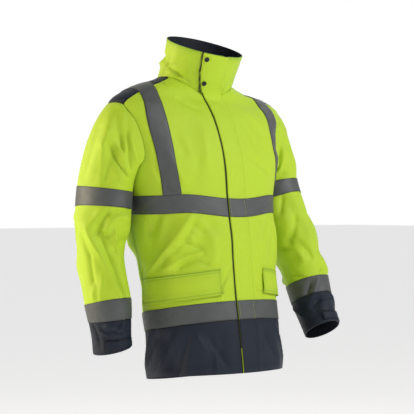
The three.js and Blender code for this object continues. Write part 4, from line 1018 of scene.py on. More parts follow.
COLLAR_WIDTH, COLLAR_REACH, COLLAR_CENTRE_Y, COLLAR_HEIGHT = 113.0, 92.0, -45.0, 82.0
COLLAR_RISE, COLLAR_TILT, COLLAR_BACK_LIFT, COLLAR_WAIST = 0.33, -0.04, 9.0, 7.0
COLLAR_FOLDS = Folds([
    (-62, 0.05, -30, 0.5, 9, -3.5, 0, 0.2, 0.5),
    (-70, 0.1, -75, 0.8, 14, 3),
    (-95, 0.0, -88, 0.6, 10, -4.5, 0, 0, 0.4),
    (-48, 0.0, -52, 0.35, 8, 2.5),
    (38, 0.0, 50, 0.6, 10, -4.5, 0, 0, 0.4),
    (66, 0.1, 60, 0.8, 12, 2.5),
    (96, 0.0, 84, 0.6, 10, -3),
    (130, 0.1, 150, 0.6, 12, -3),
    (-140, 0.1, -150, 0.7, 12, -3),
    (178, 0.1, 168, 0.6, 14, 2.5),
    (-120, 0.2, -112, 0.8, 12, 2.5),
    (-150, 0.42, -105, 0.36, 9, 7.5, 0, 0, 0.6),
    (-150, 0.6, -105, 0.55, 9, -6, 0, 0, 0.6),
    (-84, 0.2, -60, 0.62, 8, -4.5, 0, 0, 0.7),
    (-58, 0.66, -46, 0.3, 7, 4, 0, 0, 0.7),
    (-88, 0.34, -52, 0.14, 9, -5, 0, 0, 0.7),
    (-80, 0.2, -46, 0.04, 9, 4.5, 0, 0, 0.7),
    (-66, 0.24, -38, 0.1, 8, -4, 0, 0, 0.7),
    (-104, 0.5, -80, 0.3, 9, -4, 0, 0, 0.6),
    (14, 0.05, 34, 0.3, 9, -4, 0, 0, 0.6),
    (26, 0.02, 48, 0.2, 9, 3.5, 0, 0, 0.6),
    (84, 0.6, 112, 0.36, 9, 4.5, 0, 0, 0.6),
], (2.0, 115.0))
COLLAR_LENGTH = 118.0
FLAP_ON_COLLAR = table("share free stitched", [(0, -41, 22), (0.5, -58, 16), (1, -68, 7)])
FLAP_LIFT = 1.5


class Collar:
    """The stand collar's surface, which stands on the neck seam and leans forward to its top edge."""

    def turn(self, base: Array) -> Array:
        """Angles round the neck, from the front's middle towards the wearer's left."""
        depth = np.where(base[..., 1] < 0, NECK_FRONT, NECK_BACK)
        return np.arctan2(base[..., 0] / NECK_WIDTH, -base[..., 1] / depth)

    def node(self, base: Array, share: Array) -> Grid:
        """The collar over places of its neck seam, at shares of its height."""
        turn = self.turn(base)
        behind = (1 - np.cos(turn)) / 2
        y = COLLAR_CENTRE_Y - COLLAR_REACH * np.cos(turn)
        x = COLLAR_WIDTH * np.sin(turn)
        z = COLLAR_HEIGHT + COLLAR_TILT * x + COLLAR_RISE * (y - COLLAR_CENTRE_Y) + COLLAR_BACK_LIFT * behind
        top = np.stack([x, y, z], -1)
        n = unit(np.stack([np.sin(turn) / NECK_WIDTH, -np.cos(turn) / NECK_FRONT, 0 * turn], -1))
        p = lerp(base, top, share[..., None])
        waist = -np.sin(np.pi * share) * COLLAR_WAIST * behind
        folds = COLLAR_FOLDS.depth(np.degrees(turn) + 0 * share, share + 0 * turn)
        return Grid(p + np.broadcast_to(n, p.shape) * (waist + folds)[..., None], np.broadcast_to(n, p.shape))

    def grid(self, seam: Array) -> Grid:
        """The collar's cloth from its seam, one column for each of the seam's places, to its top edge."""
        share = shares(COLLAR_LENGTH, True, True)[:, None]
        grid = self.node(np.broadcast_to(seam, (len(share), *seam.shape)), share).facing()
        sunk = 1.2 * hump(grid.from_edge(Edge.BOTTOM), 0, 4.0)
        grid = grid.raised(-sunk)
        hidden = Grid(grid.p[:1] - 1.5 * grid.n[:1] - np.array([0, 0, 6.0]), grid.n[:1])
        return hidden.then(grid, 0)

    def flap(self, shares_up: Array, shares_across: Array) -> Grid:
        """The storm flap's cloth on the collar, where it slants towards the wearer's right."""
        free, stitched = (along(FLAP_ON_COLLAR, "share", shares_up, name)[:, None] for name in ("free", "stitched"))
        x = lerp(free, stitched, shares_across[None, :])
        y = -NECK_FRONT * (1 - (np.abs(x) / NECK_WIDTH) ** NECK_POWER) ** (1 / NECK_POWER)
        base = BODY_FORM.shoulder(x, y).p
        share = np.broadcast_to(shares_up[:, None], x.shape)
        return self.node(base, share).facing().raised(FLAP_LIFT)


class Finish(Enum):
    """The finishes of the pieces, with the record's material slots."""

    YELLOW = "yellow_cloth"
    NAVY = "navy_cloth"
    TAPE = "reflective_tape"
    LINING = "collar_lining"
    ZIP = "zip_strip"
    STUD = "stud"


Stitched = tuple[tuple[Edge, float], ...]
# The seam distance given along a row of stitches, so that the finishes paint a lighter line of shade there than at a
# seam.
STITCH_SHADE = 1.2
FAR_OFF = 60.0


@dataclass
class Tailor:
    finishes: dict[str, bpy.types.Material]
    made: list[str] = field(default_factory=list)

    def mesh(self, name: str, points: Array, faces: list[list[int]], finish: str, slot: Finish
             ) -> bpy.types.Object:
        """Makes one smooth mesh that rides with the jacket.

        Args:
            name: The piece's name.
            points: Its vertices, in millimetres.
            faces: Each face's vertices.
            finish: The name of its finish.
            slot: The record's slot; not used.

        Returns:
            The object.
        """
        data = bpy.data.meshes.new(name)
        data.from_pydata((points * MM).tolist(), [], faces)
        data.shade_smooth()
        data.materials.append(self.finishes[finish])
        item = bpy.data.objects.new(name, data)
        bpy.context.scene.collection.objects.link(item)
        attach(item, "root")
        self.made.append(name)
        return item

    def wall(self, name: str, grid: Grid, layer: Layer, finish: str, slot: Finish, lining: str = "",
             held: Hold = Hold.HUNG, rests_on: tuple[str, ...] = (), seams: tuple[Edge, ...] = tuple(Edge),
             stitches: Stitched = (), flap_shadow_distance: Array | None = None) -> None:
        """Args:
            name: The name of the solid that it takes the place of.
            grid: The cloth's middle surface.
            layer: The distances between which it lies.
            finish: The name of its finish.
            slot: The record's slot; not used, only handed on to mesh.
            lining: The finish of its inner face, where that differs.
            held: How it is held; not used.
            rests_on: The solids' names of the pieces that it lies on or hangs from; not used.
            seams: Its sewn edges, for the shade beside them.
            stitches: Its rows of stitches, as an edge and the distance from it, for the painted shade along them.
            flap_shadow_distance: Each node's distance from the flap's free edge, where that shades the piece.
        """
        rows, columns = grid.p.shape[:2]
        inner, outer = (grid.raised(by).p.reshape(-1, 3) for by in layer.value)
        index = np.arange(rows * columns).reshape(rows, columns)
        if grid.closed:
            index = np.concatenate([index, index[:, :1]], 1)
        near = np.stack([index[:-1, :-1], index[:-1, 1:], index[1:, 1:], index[1:, :-1]], -1).reshape(-1, 4)
        deep = near[:, ::-1] + rows * columns
        rims = [(index[0], False), (index[-1], True)]
        if not grid.closed:
            rims += [(index[:, 0], True), (index[:, -1], False)]
        border = []
        for line, turned in rims:
            quads = np.stack([line[:-1], line[:-1] + rows * columns, line[1:] + rows * columns, line[1:]], -1)
            border.append(quads[:, ::-1] if turned else quads)
        faces = np.concatenate([near, deep, *border])
        middle = len(index[0]) // 2
        here = grid.p[rows // 2, middle % columns]
        right, below = grid.p[rows // 2, (middle + 1) % columns], grid.p[rows // 2 - 1, middle % columns]
        if np.dot(np.cross(right - here, here - below), grid.n[rows // 2, middle % columns]) < 0:
            faces = faces[:, ::-1]
        item = self.mesh(f"{name}_cloth", np.concatenate([outer, inner]), faces.tolist(), finish, slot)
        if lining:
            item.data.materials.append(self.finishes[lining])
            chosen = np.zeros(len(faces), np.int32)
            chosen[len(near):2 * len(near)] = 1
            item.data.polygons.foreach_set("material_index", chosen)
        self.lay_out(item, grid, seams, stitches, flap_shadow_distance)
        width, length, area = grid.cut()
        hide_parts(name)
        LOG.info("%s: cut %.0f x %.0f mm, %d faces", name, width / MM, length / MM, len(faces))

    def lay_out(self, item: bpy.types.Object, grid: Grid, seams: tuple[Edge, ...], stitches: Stitched,
                flap_shadow_distance: Array | None) -> None:
        """Gives a wall its thread directions, in metres, and its distances from seams, stitch rows and the flap's
        free edge, in millimetres, from which the finishes paint shade and shadow.
        """
        across, up = grid.walked(1), grid.walked(0)
        across = across - across[:, [across.shape[1] // 2]]
        flat = np.tile(np.stack([across, up], -1).reshape(-1, 2) * MM, (2, 1))
        loops = np.empty(len(item.data.loops), np.int32)
        item.data.loops.foreach_get("vertex_index", loops)
        layer = item.data.uv_layers.new(name="threads")
        layer.data.foreach_set("uv", flat[loops].astype(np.float32).ravel())
        away = np.full(grid.p.shape[:2], FAR_OFF)
        for edge in seams:
            if not (grid.closed and edge.value[0] == 1):
                away = np.minimum(away, grid.from_edge(edge))
        for edge, distance in stitches:
            away = np.minimum(away, np.abs(grid.from_edge(edge) - distance) + STITCH_SHADE)
        flap_shadow_distance = np.full(grid.p.shape[:2], FAR_OFF) if flap_shadow_distance is None else flap_shadow_distance
        for mark, values in (("seam", away), ("flap_shadow_distance", flap_shadow_distance)):
            layer = item.data.attributes.new(mark, "FLOAT", "POINT")
            layer.data.foreach_set("value", np.tile(values.ravel(), 2).astype(np.float32))


@dataclass
class Stitching:
    """Rows of lockstitches in one thread."""

    name: str
    finish: str
    slot: Finish
    length: float = 3.0
    gap: float = 0.9
    radius: float = 0.34
    rods: list[tuple[Array, Array, Array]] = field(default_factory=list)

    def sew(self, line: Grid, lift: float) -> None:
        """Adds a row of stitches.

        Args:
            line: A grid of one row that the stitches follow.
            lift: The height of the cloth's face over the grid.
        """
        p, n = line.raised(lift + self.radius * 0.5).p[0], line.n[0]
        walked = np.concatenate([[0], np.cumsum(np.linalg.norm(np.diff(p, axis=0), axis=1))])
        starts = np.arange(self.gap, walked[-1] - self.length, self.length + self.gap)
        if not len(starts):
            return

        def read(s: Array, v: Array) -> Array:
            """Reads places or directions at distances along the row."""
            return np.stack([np.interp(s, walked, v[:, k]) for k in range(3)], -1)

        self.rods.append((read(starts, p), read(starts + self.length, p), unit(read(starts, n))))

    def build(self, tailor: Tailor) -> None:
        """Makes all the stitches as one mesh: each is a rod of three sides with pointed ends, sunk at both."""
        if not self.rods:
            return
        start, stop, n = (np.concatenate(parts) for parts in zip(*self.rods))
        way = unit(stop - start)
        side = np.cross(way, n)
        spokes = [n, -0.5 * n + 0.87 * side, -0.5 * n - 0.87 * side]
        inset = 0.22 * (stop - start)
        sink = 0.5 * self.radius * n
        points = [start - sink, *(start + inset + s * self.radius for s in spokes),
                  *(stop - inset + s * self.radius for s in spokes), stop - sink]
        local = [(0, 2, 1), (0, 3, 2), (0, 1, 3), (1, 2, 5), (1, 5, 4), (2, 3, 6), (2, 6, 5),
                 (3, 1, 4), (3, 4, 6), (4, 5, 7), (5, 6, 7), (6, 4, 7)]
        vertices = np.stack(points, 1).reshape(-1, 3)
        faces = (np.array(local)[None] + 8 * np.arange(len(start))[:, None, None]).reshape(-1, 3)
        tailor.mesh(self.name, vertices, faces.tolist(), self.finish, self.slot)
        LOG.info("%s: %d stitches", self.name, len(start))


class Value:
    """A number that varies over a surface, so that sums and products of it are written as Python."""

    def __init__(self, tree: ShaderTree, socket: bpy.types.NodeSocket) -> None:
        """Wraps a socket of a tree."""
        self.tree, self.socket = tree, socket

    def _maths(self, operation: str, *terms: Value | float) -> Value:
        """Adds one Math node."""
        return self.tree.value("ShaderNodeMath", {"operation": operation}, *terms)

    def __add__(self, other: Value | float) -> Value:
        """The sum."""
        return self._maths("ADD", self, other)

    def __sub__(self, other: Value | float) -> Value:
        """The difference."""
        return self._maths("SUBTRACT", self, other)

    def __rsub__(self, other: float) -> Value:
        """A number less this."""
        return self._maths("SUBTRACT", other, self)

    def __mul__(self, other: Value | float) -> Value:
        """The product."""
        return self._maths("MULTIPLY", self, other)

    def __truediv__(self, other: Value | float) -> Value:
        """The quotient."""
        return self._maths("DIVIDE", self, other)

    __radd__, __rmul__ = __add__, __mul__

    def sine(self) -> Value:
        """The sine."""
        return self._maths("SINE", self)

    def size(self) -> Value:
        """The absolute value."""
        return self._maths("ABSOLUTE", self)

    def rises(self, low: float, high: float) -> Value:
        """A soft step from 0 at low to 1 at high."""
        settings = {"interpolation_type": "SMOOTHSTEP"}
        return self.tree.value("ShaderNodeMapRange", settings, self, low, high)


class ShaderTree:
    """The nodes of a material or of the air."""

    def __init__(self, tree: bpy.types.NodeTree) -> None:
        """Wraps a tree."""
        self.nodes, self.links = tree.nodes, tree.links

    def node(self, kind: str, settings: dict[str, object], *inputs: object, **named: object) -> bpy.types.Node:
        """Adds any node.

        Args:
            kind: The node's type.
            settings: Its settings, which are set first.
            *inputs: Values or links of its first sockets, with None for one left alone.
            **named: Values or links of sockets by name, with _ for a space.

        Returns:
            The node.
        """
        node = self.nodes.new(kind)
        for key, setting in settings.items():
            setattr(node, key, setting)
        sockets = [(i, v) for i, v in enumerate(inputs)] + [(k.replace("_", " "), v) for k, v in named.items()]
        for key, given in sockets:
            if given is not None:
                self.feed(node.inputs[key], given)
        return node

    def feed(self, socket: bpy.types.NodeSocket, given: object) -> None:
        """Gives a socket a link or a value."""
        link = given.socket if isinstance(given, Value) else given
        if isinstance(link, bpy.types.NodeSocket):
            self.links.new(link, socket)
        else:
            socket.default_value = link

    def value(self, kind: str, settings: dict[str, object], *inputs: object) -> Value:
        """Adds a node and wraps its first result."""
        return Value(self, self.node(kind, settings, *inputs).outputs[0])

    def blend(self, share: Value, low: object, high: object) -> bpy.types.NodeSocket:
        """Mixes two colours."""
        node = self.node("ShaderNodeMix", {"data_type": "RGBA"})
        for key, given in ((0, share), (6, low), (7, high)):
            self.feed(node.inputs[key], given)
        return node.outputs[2]


class Paint(ShaderTree):
    """One material and its nodes."""

    def __init__(self, name: str) -> None:
        """Starts a material around its shader."""
        self.material = bpy.data.materials.new(name)
        self.material.use_nodes = True
        super().__init__(self.material.node_tree)
        self.shader = next(n for n in self.nodes if n.type == "BSDF_PRINCIPLED")

    def set(self, **constants: object) -> None:
        """Sets or links the shader's own sockets, with _ for a space."""
        for key, given in constants.items():
            self.feed(self.shader.inputs[key.replace("_", " ")], given)

    def under_flap(self) -> Value:
        """The painted shadow beside the flap's free edge: 1 at the edge, 0 from 4.6 mm away."""
        return 1 - self.attribute("flap_shadow_distance").rises(0.8, 4.6)

    def threads(self) -> tuple[Value, Value, bpy.types.NodeSocket]:
        """The two thread directions in metres, and both as a vector."""
        place = self.node("ShaderNodeUVMap", {"uv_map": "threads"}).outputs[0]
        parts = self.node("ShaderNodeSeparateXYZ", {}, place).outputs
        return Value(self, parts[0]), Value(self, parts[1]), place

    def noise(self, place: object, scale: float, detail: float = 2.0, rough: float = 0.5) -> Value:
        """Soft noise from 0 to 1."""
        return self.value("ShaderNodeTexNoise", {}, place, None, scale, detail, rough)

    def attribute(self, name: str) -> Value:
        """A number that the mesh carries."""
        return Value(self, self.node("ShaderNodeAttribute", {"attribute_name": name}).outputs[2])

    def bump(self, height: Value, distance: float, strength: float, below: object = None) -> bpy.types.NodeSocket:
        """Turns a height into a direction of the surface."""
        return self.node("ShaderNodeBump", {}, strength, distance, Height=height, Normal=below).outputs[0]


def linear(red: int, green: int, blue: int) -> tuple[float, float, float, float]:
    """Turns a colour of 0 to 255 as a screen shows it into the shader's own scale."""
    parts = [c / 255 for c in (red, green, blue)]
    return (*(c / 12.92 if c <= 0.04045 else ((c + 0.055) / 1.055) ** 2.4 for c in parts), 1.0)


@dataclass(frozen=True)
class WovenCloth:
    """Woven polyester, coated on its back: a plain weave, slubs, a fine crinkle, painted shade beside its seams and
    stitch rows, a painted shadow beside the flap's free edge and, on the yellow, a faint painted glow.
    """

    name: str
    colour: tuple[int, int, int]
    # shade: the darker colour that slubs and weave tone towards, and that the painted shade at seams and stitch rows
    # darkens to
    shade: tuple[int, int, int]
    # deep: the painted shadow's colour, used beside the flap's free edge
    deep: tuple[int, int, int]
    pitch: float = 0.0011
    roughness: float = 0.6
    sheen: float = 0.12
    # glow: strength of a painted glow in the cloth's own colour
    glow: float = 0.0
    crinkle: float = 0.5
    shine: float = 0.35

    def make(self) -> bpy.types.Material:
        """Makes the material."""
        paint = Paint(self.name)
        u, v, place = paint.threads()
        turn = 2 * math.pi / self.pitch
        weave = (u * turn).sine() * (v * turn).sine()
        slub = paint.noise(place, 900.0, 1.0) * 0.5 + paint.noise(place, 70.0, 3.0) * 0.5
        # Painted shade: the cloth darkens within 4 mm of sewn edges and along stitch rows, and faintly out to 26 mm,
        # where shade falls in the seams.
        seam = paint.attribute("seam")
        painted_seam_shade = (1 - seam.rises(0.0, 4.0)) * 0.55 + (1 - seam.rises(0.0, 26.0)) * 0.12
        tone = painted_seam_shade + (1 - slub) * 0.16 + (1 - weave) * 0.03
        cloth = paint.blend(tone, linear(*self.colour), linear(*self.shade))
        # Painted shadow: beside the flap's free edge the colour goes to the deep colour.
        paint.set(Base_Color=paint.blend(paint.under_flap(), cloth, linear(*self.deep)))
        crinkled = paint.noise(place, 46.0, 3.0, 0.55)
        fine = paint.noise(place, 210.0, 2.0, 0.5)
        relief = paint.bump(crinkled * 0.8 + fine * 0.2, 0.004, self.crinkle * 0.5)
        paint.set(Normal=paint.bump(weave * 0.5 + slub * 0.5, 0.00022, 0.5, relief))
        paint.set(Roughness=self.roughness + (slub - 0.5) * 0.12, Sheen_Weight=self.sheen,
                  Sheen_Roughness=0.45, Specular_IOR_Level=self.shine)
        # Painted glow: the cloth emits its own colour faintly, with no lamp, which lifts it in shade; it stands in
        # for the fluorescent dye.
        if self.glow:
            paint.set(Emission_Color=linear(*self.colour), Emission_Strength=self.glow)
        return paint.material


@dataclass(frozen=True)
class ReflectiveTape:
    """Grey tape with a face of tiny glass beads over a fine weave, with painted shade along its sewn edges and a
    painted shadow beside the flap's free edge.
    """

    name: str
    colour: tuple[int, int, int]
    # shade: the darker colour that the bead and cloud tone and the painted edge shade go towards
    shade: tuple[int, int, int]
    # deep: the painted shadow's colour, used beside the flap's free edge
    deep: tuple[int, int, int]

    def make(self) -> bpy.types.Material:
        """Makes the material."""
        paint = Paint(self.name)
        u, v, place = paint.threads()
        turn = 2 * math.pi / 0.0009
        weave = (u * turn).sine() * (v * turn).sine()
        beads = paint.value("ShaderNodeTexVoronoi", {}, place, None, 2600.0)
        cloud = paint.noise(place, 24.0, 3.0)
        seam = paint.attribute("seam")
        # Painted shade: the tape darkens within about 3 mm of its sewn edges, where shade falls in the stitched dip.
        edge = 1 - seam.rises(0.6, 3.2)
        tone = cloud * 0.5 + edge * 0.6 + beads * 0.2
        tape = paint.blend(tone, linear(*self.colour), linear(*self.shade))
        # Painted shadow: beside the flap's free edge the tape goes to its deep colour.
        paint.set(Base_Color=paint.blend(paint.under_flap(), tape, linear(*self.deep)))
        relief = paint.bump(paint.noise(place, 60.0, 2.0), 0.003, 0.25)
        paint.set(Normal=paint.bump(weave * 0.5 + beads * 0.5, 0.0002, 0.5, relief))
        paint.set(Roughness=0.42 + cloud * 0.16, Metallic=0.25, Specular_IOR_Level=0.5, Sheen_Weight=0.05)
        return paint.material


@dataclass(frozen=True)
class PlainPart:
    """Thread, a moulded or a metal part: one colour with a little unevenness."""

    name: str
    colour: tuple[int, int, int]
    roughness: float
    metallic: float = 0.0
    coat: float = 0.0

    def make(self) -> bpy.types.Material:
        """Makes the material."""
        paint = Paint(self.name)
        place = paint.node("ShaderNodeTexCoord", {}).outputs["Object"]
        uneven = paint.noise(place, 900.0, 2.0)
        dark = tuple(c * 0.7 for c in linear(*self.colour)[:3]) + (1.0,)
        paint.set(Base_Color=paint.blend(uneven * 0.6, linear(*self.colour), dark))
        paint.set(Roughness=self.roughness + (uneven - 0.5) * 0.15, Metallic=self.metallic, Coat_Weight=self.coat,
                  Normal=paint.bump(uneven, 0.0003, 0.3))
        return paint.material


# Each finish has its colour, a darker colour for random tone and painted seam shade, and the painted shadow's colour
# beside the flap's free edge.
FINISHES = (
    WovenCloth("yellow_oxford", (178, 206, 38), (90, 134, 30), (44, 50, 12), sheen=0.05, glow=0.02),
    WovenCloth("navy_oxford", (30, 37, 50), (12, 15, 23), (7, 8, 12), roughness=0.54, sheen=0.03, shine=0.2),
    WovenCloth("navy_taffeta", (26, 31, 41), (13, 15, 21), (7, 8, 12), 0.0007, 0.5, 0.03, crinkle=0.7, shine=0.2),
    WovenCloth("zip_webbing", (26, 29, 38), (11, 12, 18), (7, 8, 12), 0.0016, 0.75, crinkle=0.1),
    ReflectiveTape("bead_tape", (86, 90, 88), (54, 57, 60), (22, 23, 25)),
    PlainPart("lime_thread", (206, 232, 40), 0.6),
    PlainPart("navy_thread", (20, 22, 32), 0.6),
    PlainPart("grey_thread", (78, 80, 86), 0.6),
    PlainPart("dark_metal", (30, 31, 38), 0.35, 0.7, 0.2),
    PlainPart("moulded_teeth", (24, 26, 32), 0.4, 0.0, 0.3),
)


@dataclass
class Body:
    """The fronts, the back, the navy hem, the yokes, the tapes, the braces and the pocket flaps."""

    tailor: Tailor
    lime: Stitching
    dark: Stitching
    grey: Stitching
    panels: Panels = field(default_factory=Panels)
    fronts: dict[Side, Grid] = field(default_factory=dict)
    backs: dict[Side, Grid] = field(default_factory=dict)
    front_hems: dict[Side, Grid] = field(default_factory=dict)
    back_hems: dict[Side, Grid] = field(default_factory=dict)
    yokes: dict[Side, Grid] = field(default_factory=dict)

    def draft(self) -> None:
        """Works out the grids of both sides."""
        levels = [HEM_TAPE_ROWS, MIDDLE_ROWS, CHEST_TAPE_ROWS, UNDERARM_ROWS]
        for side in Side:
            for grids, columns, lines, front in ((self.fronts, FRONT_COLUMNS, FRONT_LINES[side], True),
                                                 (self.backs, BACK_COLUMNS, BACK_LINES, False)):
                rows = [stretch for level in levels for stretch in level]
                grid = self.panels.block(side, columns, lines, rows)
                grids[side] = grid.then(self.panels.upper(side, front), 0)
            self.front_hems[side] = self.panels.block(side, FRONT_COLUMNS, FRONT_LINES[side], HEM_ROWS)
            self.back_hems[side] = self.panels.block(side, BACK_COLUMNS, BACK_LINES, HEM_ROWS)
            self.yokes[side] = self.panels.yoke(side, self.fronts[side], self.backs[side])

    def rows(self, first: list[Stretch], *before: list[Stretch]) -> slice:
        """The rows of a stretch of the body, which come after others."""
        start = sum(count(b) for b in before)
        return slice(start, start + count(first) + 1)

    def joined(self, halves: dict[Side, Grid]) -> Grid:
        """Both halves of the back, which share their middle column."""
        right = halves[Side.RIGHT].reversed(1)
        return right.then(halves[Side.LEFT].part(slice(None), slice(1, None)), 1)

    def tape(self, name: str, grid: Grid, rests_on: tuple[str, ...], shaded: bool = False) -> None:
        """Lays one tape on the cloth, stitched along both long edges, with the painted shadow beside the flap's free
        edge when shaded.
        """
        across = (Edge.BOTTOM, Edge.TOP)
        relief = sum(0.35 * hump(grid.from_edge(edge), 2.0, 1.6) for edge in across)
        raised = grid.raised(0.15 - relief)
        self.tailor.wall(name, raised, Layer.ON_SHELL, "bead_tape", Finish.TAPE, held=Hold.LAID,
                         rests_on=rests_on, seams=across, flap_shadow_distance=grid.from_column(0) if shaded else None)
        for edge in across:
            self.grey.sew(raised.beside(edge, 2.0), Layer.ON_SHELL.value[1])

    def build(self) -> None:
        """Makes every piece of the body."""
        self.draft()
        tape_rows = self.rows(HEM_TAPE_ROWS)
        chest_rows = self.rows(CHEST_TAPE_ROWS, HEM_TAPE_ROWS, MIDDLE_ROWS)
        flap = count(FRONT_COLUMNS[:1])
        beside_flap = slice(flap, None)
        for side in Side:
            label, grid = side.label, self.fronts[side]
            # Only the right side lies beside the flap's free edge, so only it gets the painted shadow there.
            shaded = side is Side.RIGHT
            sewn = grid.sewn(Edge.BOTTOM, Edge.TOP, Edge.LAST)
            self.tailor.wall(f"front_{label}", sewn, Layer.SHELL, "yellow_oxford", Finish.YELLOW, "navy_taffeta",
                             rests_on=(f"yoke_{label}",), seams=(Edge.BOTTOM, Edge.LAST),
                             stitches=((Edge.LAST, 6.0),), flap_shadow_distance=sewn.from_column(flap) if shaded else None)
            self.lime.sew(sewn.beside(Edge.LAST, 6.0, 0.62), 0.8)
            for name, rows in (("chest_tape", chest_rows), ("hem_tape", tape_rows)):
                self.tape(f"{name}_{label}", grid.part(rows, beside_flap), (f"front_{label}",), shaded)
            self.pocket(side)
            self.hem(f"hem_front_{label}", self.front_hems[side], (Edge.LAST,), f"front_{label}",
                     self.front_hems[side].from_column(flap) if shaded else None)
            self.yoke(side)
        back = self.joined(self.backs)
        every = (Edge.BOTTOM, Edge.TOP, Edge.FIRST, Edge.LAST)
        self.tailor.wall("back", back.sewn(*every), Layer.SHELL, "yellow_oxford", Finish.YELLOW, "navy_taffeta",
                         rests_on=("yoke_right", "yoke_left"), seams=every,
                         stitches=((Edge.FIRST, 6.0), (Edge.LAST, 6.0)))
        self.tape("chest_tape_back", back.part(chest_rows), ("back",))
        self.tape("hem_tape_back", back.part(tape_rows), ("back",))
        self.hem("hem_back", self.joined(self.back_hems), (Edge.FIRST, Edge.LAST), "back")

    def hem(self, name: str, grid: Grid, sides: tuple[Edge, ...], above: str,
            flap_shadow_distance: Array | None = None) -> None:
        """Makes one navy panel with its hem turned up and stitched, and the painted shadow beside the flap's free
        edge where its distance is given.
        """
        grid = grid.sewn(Edge.TOP, *sides)
        groove = 0.5 * hump(grid.from_edge(Edge.BOTTOM), 21, 2.6) - 0.5 * hump(grid.from_edge(Edge.BOTTOM), 11, 9)
        grid = grid.raised(-groove)
        self.tailor.wall(name, grid, Layer.SHELL, "navy_oxford", Finish.NAVY, "navy_taffeta",
                         rests_on=(above,), seams=(Edge.TOP, *sides), stitches=((Edge.BOTTOM, 21.0),),
                         flap_shadow_distance=flap_shadow_distance)
        self.dark.sew(grid.beside(Edge.BOTTOM, 21.0), 0.8)

    def yoke(self, side: Side) -> None:
        """Makes one yoke and the brace that runs over it."""
        label = side.label
        grid = self.yokes[side].sewn(Edge.BOTTOM, Edge.TOP, Edge.LAST)
        self.tailor.wall(f"yoke_{label}", grid, Layer.SHELL, "navy_oxford", Finish.NAVY, "navy_taffeta",
                         held=Hold.DRAPED, rests_on=("collar",), stitches=((Edge.BOTTOM, 6.0), (Edge.TOP, 6.0)))
        for edge in (Edge.BOTTOM, Edge.TOP):
            self.dark.sew(grid.beside(edge, 6.0), 0.8)
        first = count(FRONT_COLUMNS[:3])
        width = slice(first, first + count(FRONT_COLUMNS[3:4]) + 1)
        behind = count(BACK_COLUMNS[:2])
        own = slice(first - count(FRONT_COLUMNS[:2]), width.stop - count(FRONT_COLUMNS[:2]))
        start = count(HEM_TAPE_ROWS) + count(MIDDLE_ROWS) + count(CHEST_TAPE_ROWS)
        up = self.fronts[side].part(slice(start, None), width)
        down = self.backs[side].part(slice(start, None), slice(behind, behind + width.stop - width.start))
        over = self.yokes[side].part(slice(1, -1), own)
        whole = up.then(over, 0).then(down.reversed(0), 0)
        edges = (Edge.FIRST, Edge.LAST)
        relief = sum(0.3 * hump(whole.from_edge(edge), 2.0, 2.4) for edge in edges)
        raised = whole.raised(0.15 - relief)
        self.tailor.wall(f"brace_{label}", raised, Layer.ON_SHELL, "bead_tape", Finish.TAPE, held=Hold.DRAPED,
                         rests_on=(f"yoke_{label}",), seams=edges)
        for edge in edges:
            self.grey.sew(raised.beside(edge, 2.0), Layer.ON_SHELL.value[1])

    def pocket(self, side: Side) -> None:
        """Makes one pocket flap, sewn along its top, lifted at its foot and topstitched."""
        grid = self.panels.block(side, POCKET_COLUMNS, FRONT_LINES[side], POCKET_ROWS)
        height = grid.from_edge(Edge.TOP)
        lift = 4.5 * smooth(height, -10, 66) + 0.8 * hump(height, 0, 3)
        ruffle = sum(0.9 * hump(grid.from_edge(edge), 0, 4) for edge in (Edge.FIRST, Edge.LAST, Edge.BOTTOM))
        groove = sum(0.6 * hump(grid.from_edge(edge), 6, 1.8) for edge in Edge)
        raised = grid.raised(lift + ruffle - groove)
        label = side.label
        self.tailor.wall(f"pocket_flap_{label}", raised, Layer.POCKET, "yellow_oxford", Finish.YELLOW,
                         held=Hold.HUNG, rests_on=(f"front_{label}",), seams=(Edge.TOP,),
                         stitches=tuple((edge, 6.0) for edge in Edge))
        for edge in Edge:
            self.lime.sew(raised.beside(edge, 6.0), Layer.POCKET.value[1])

    def armhole(self, side: Side) -> Grid:
        """The armhole's own points, from the underarm up the front, over the yoke and down the back."""
        start = sum(count(rows) for rows in (HEM_TAPE_ROWS, MIDDLE_ROWS, CHEST_TAPE_ROWS, UNDERARM_ROWS))
        edge = slice(-1, None)
        front = self.fronts[side].part(slice(start, None), edge)
        over = self.yokes[side].part(slice(1, -1), edge)
        back = self.backs[side].part(slice(start, None), edge).part(slice(1, None)).reversed(0)
        ring = front.then(over, 0).then(back, 0)
        return Grid(ring.p.swapaxes(0, 1), ring.n.swapaxes(0, 1), True)

    def neck_seam(self) -> Array:
        """The neck seam's places from the right front's edge round the back to the left front's edge."""
        def half(side: Side) -> Array:
            """One side's places, from the front's middle to the back's."""
            front = self.fronts[side].p[-1, :count(FRONT_COLUMNS[:2])]
            back = self.backs[side].p[-1, :count(BACK_COLUMNS[:1])][::-1]
            return np.concatenate([front, self.yokes[side].p[:, 0], back])

        return np.concatenate([half(Side.RIGHT), half(Side.LEFT)[::-1][1:]])


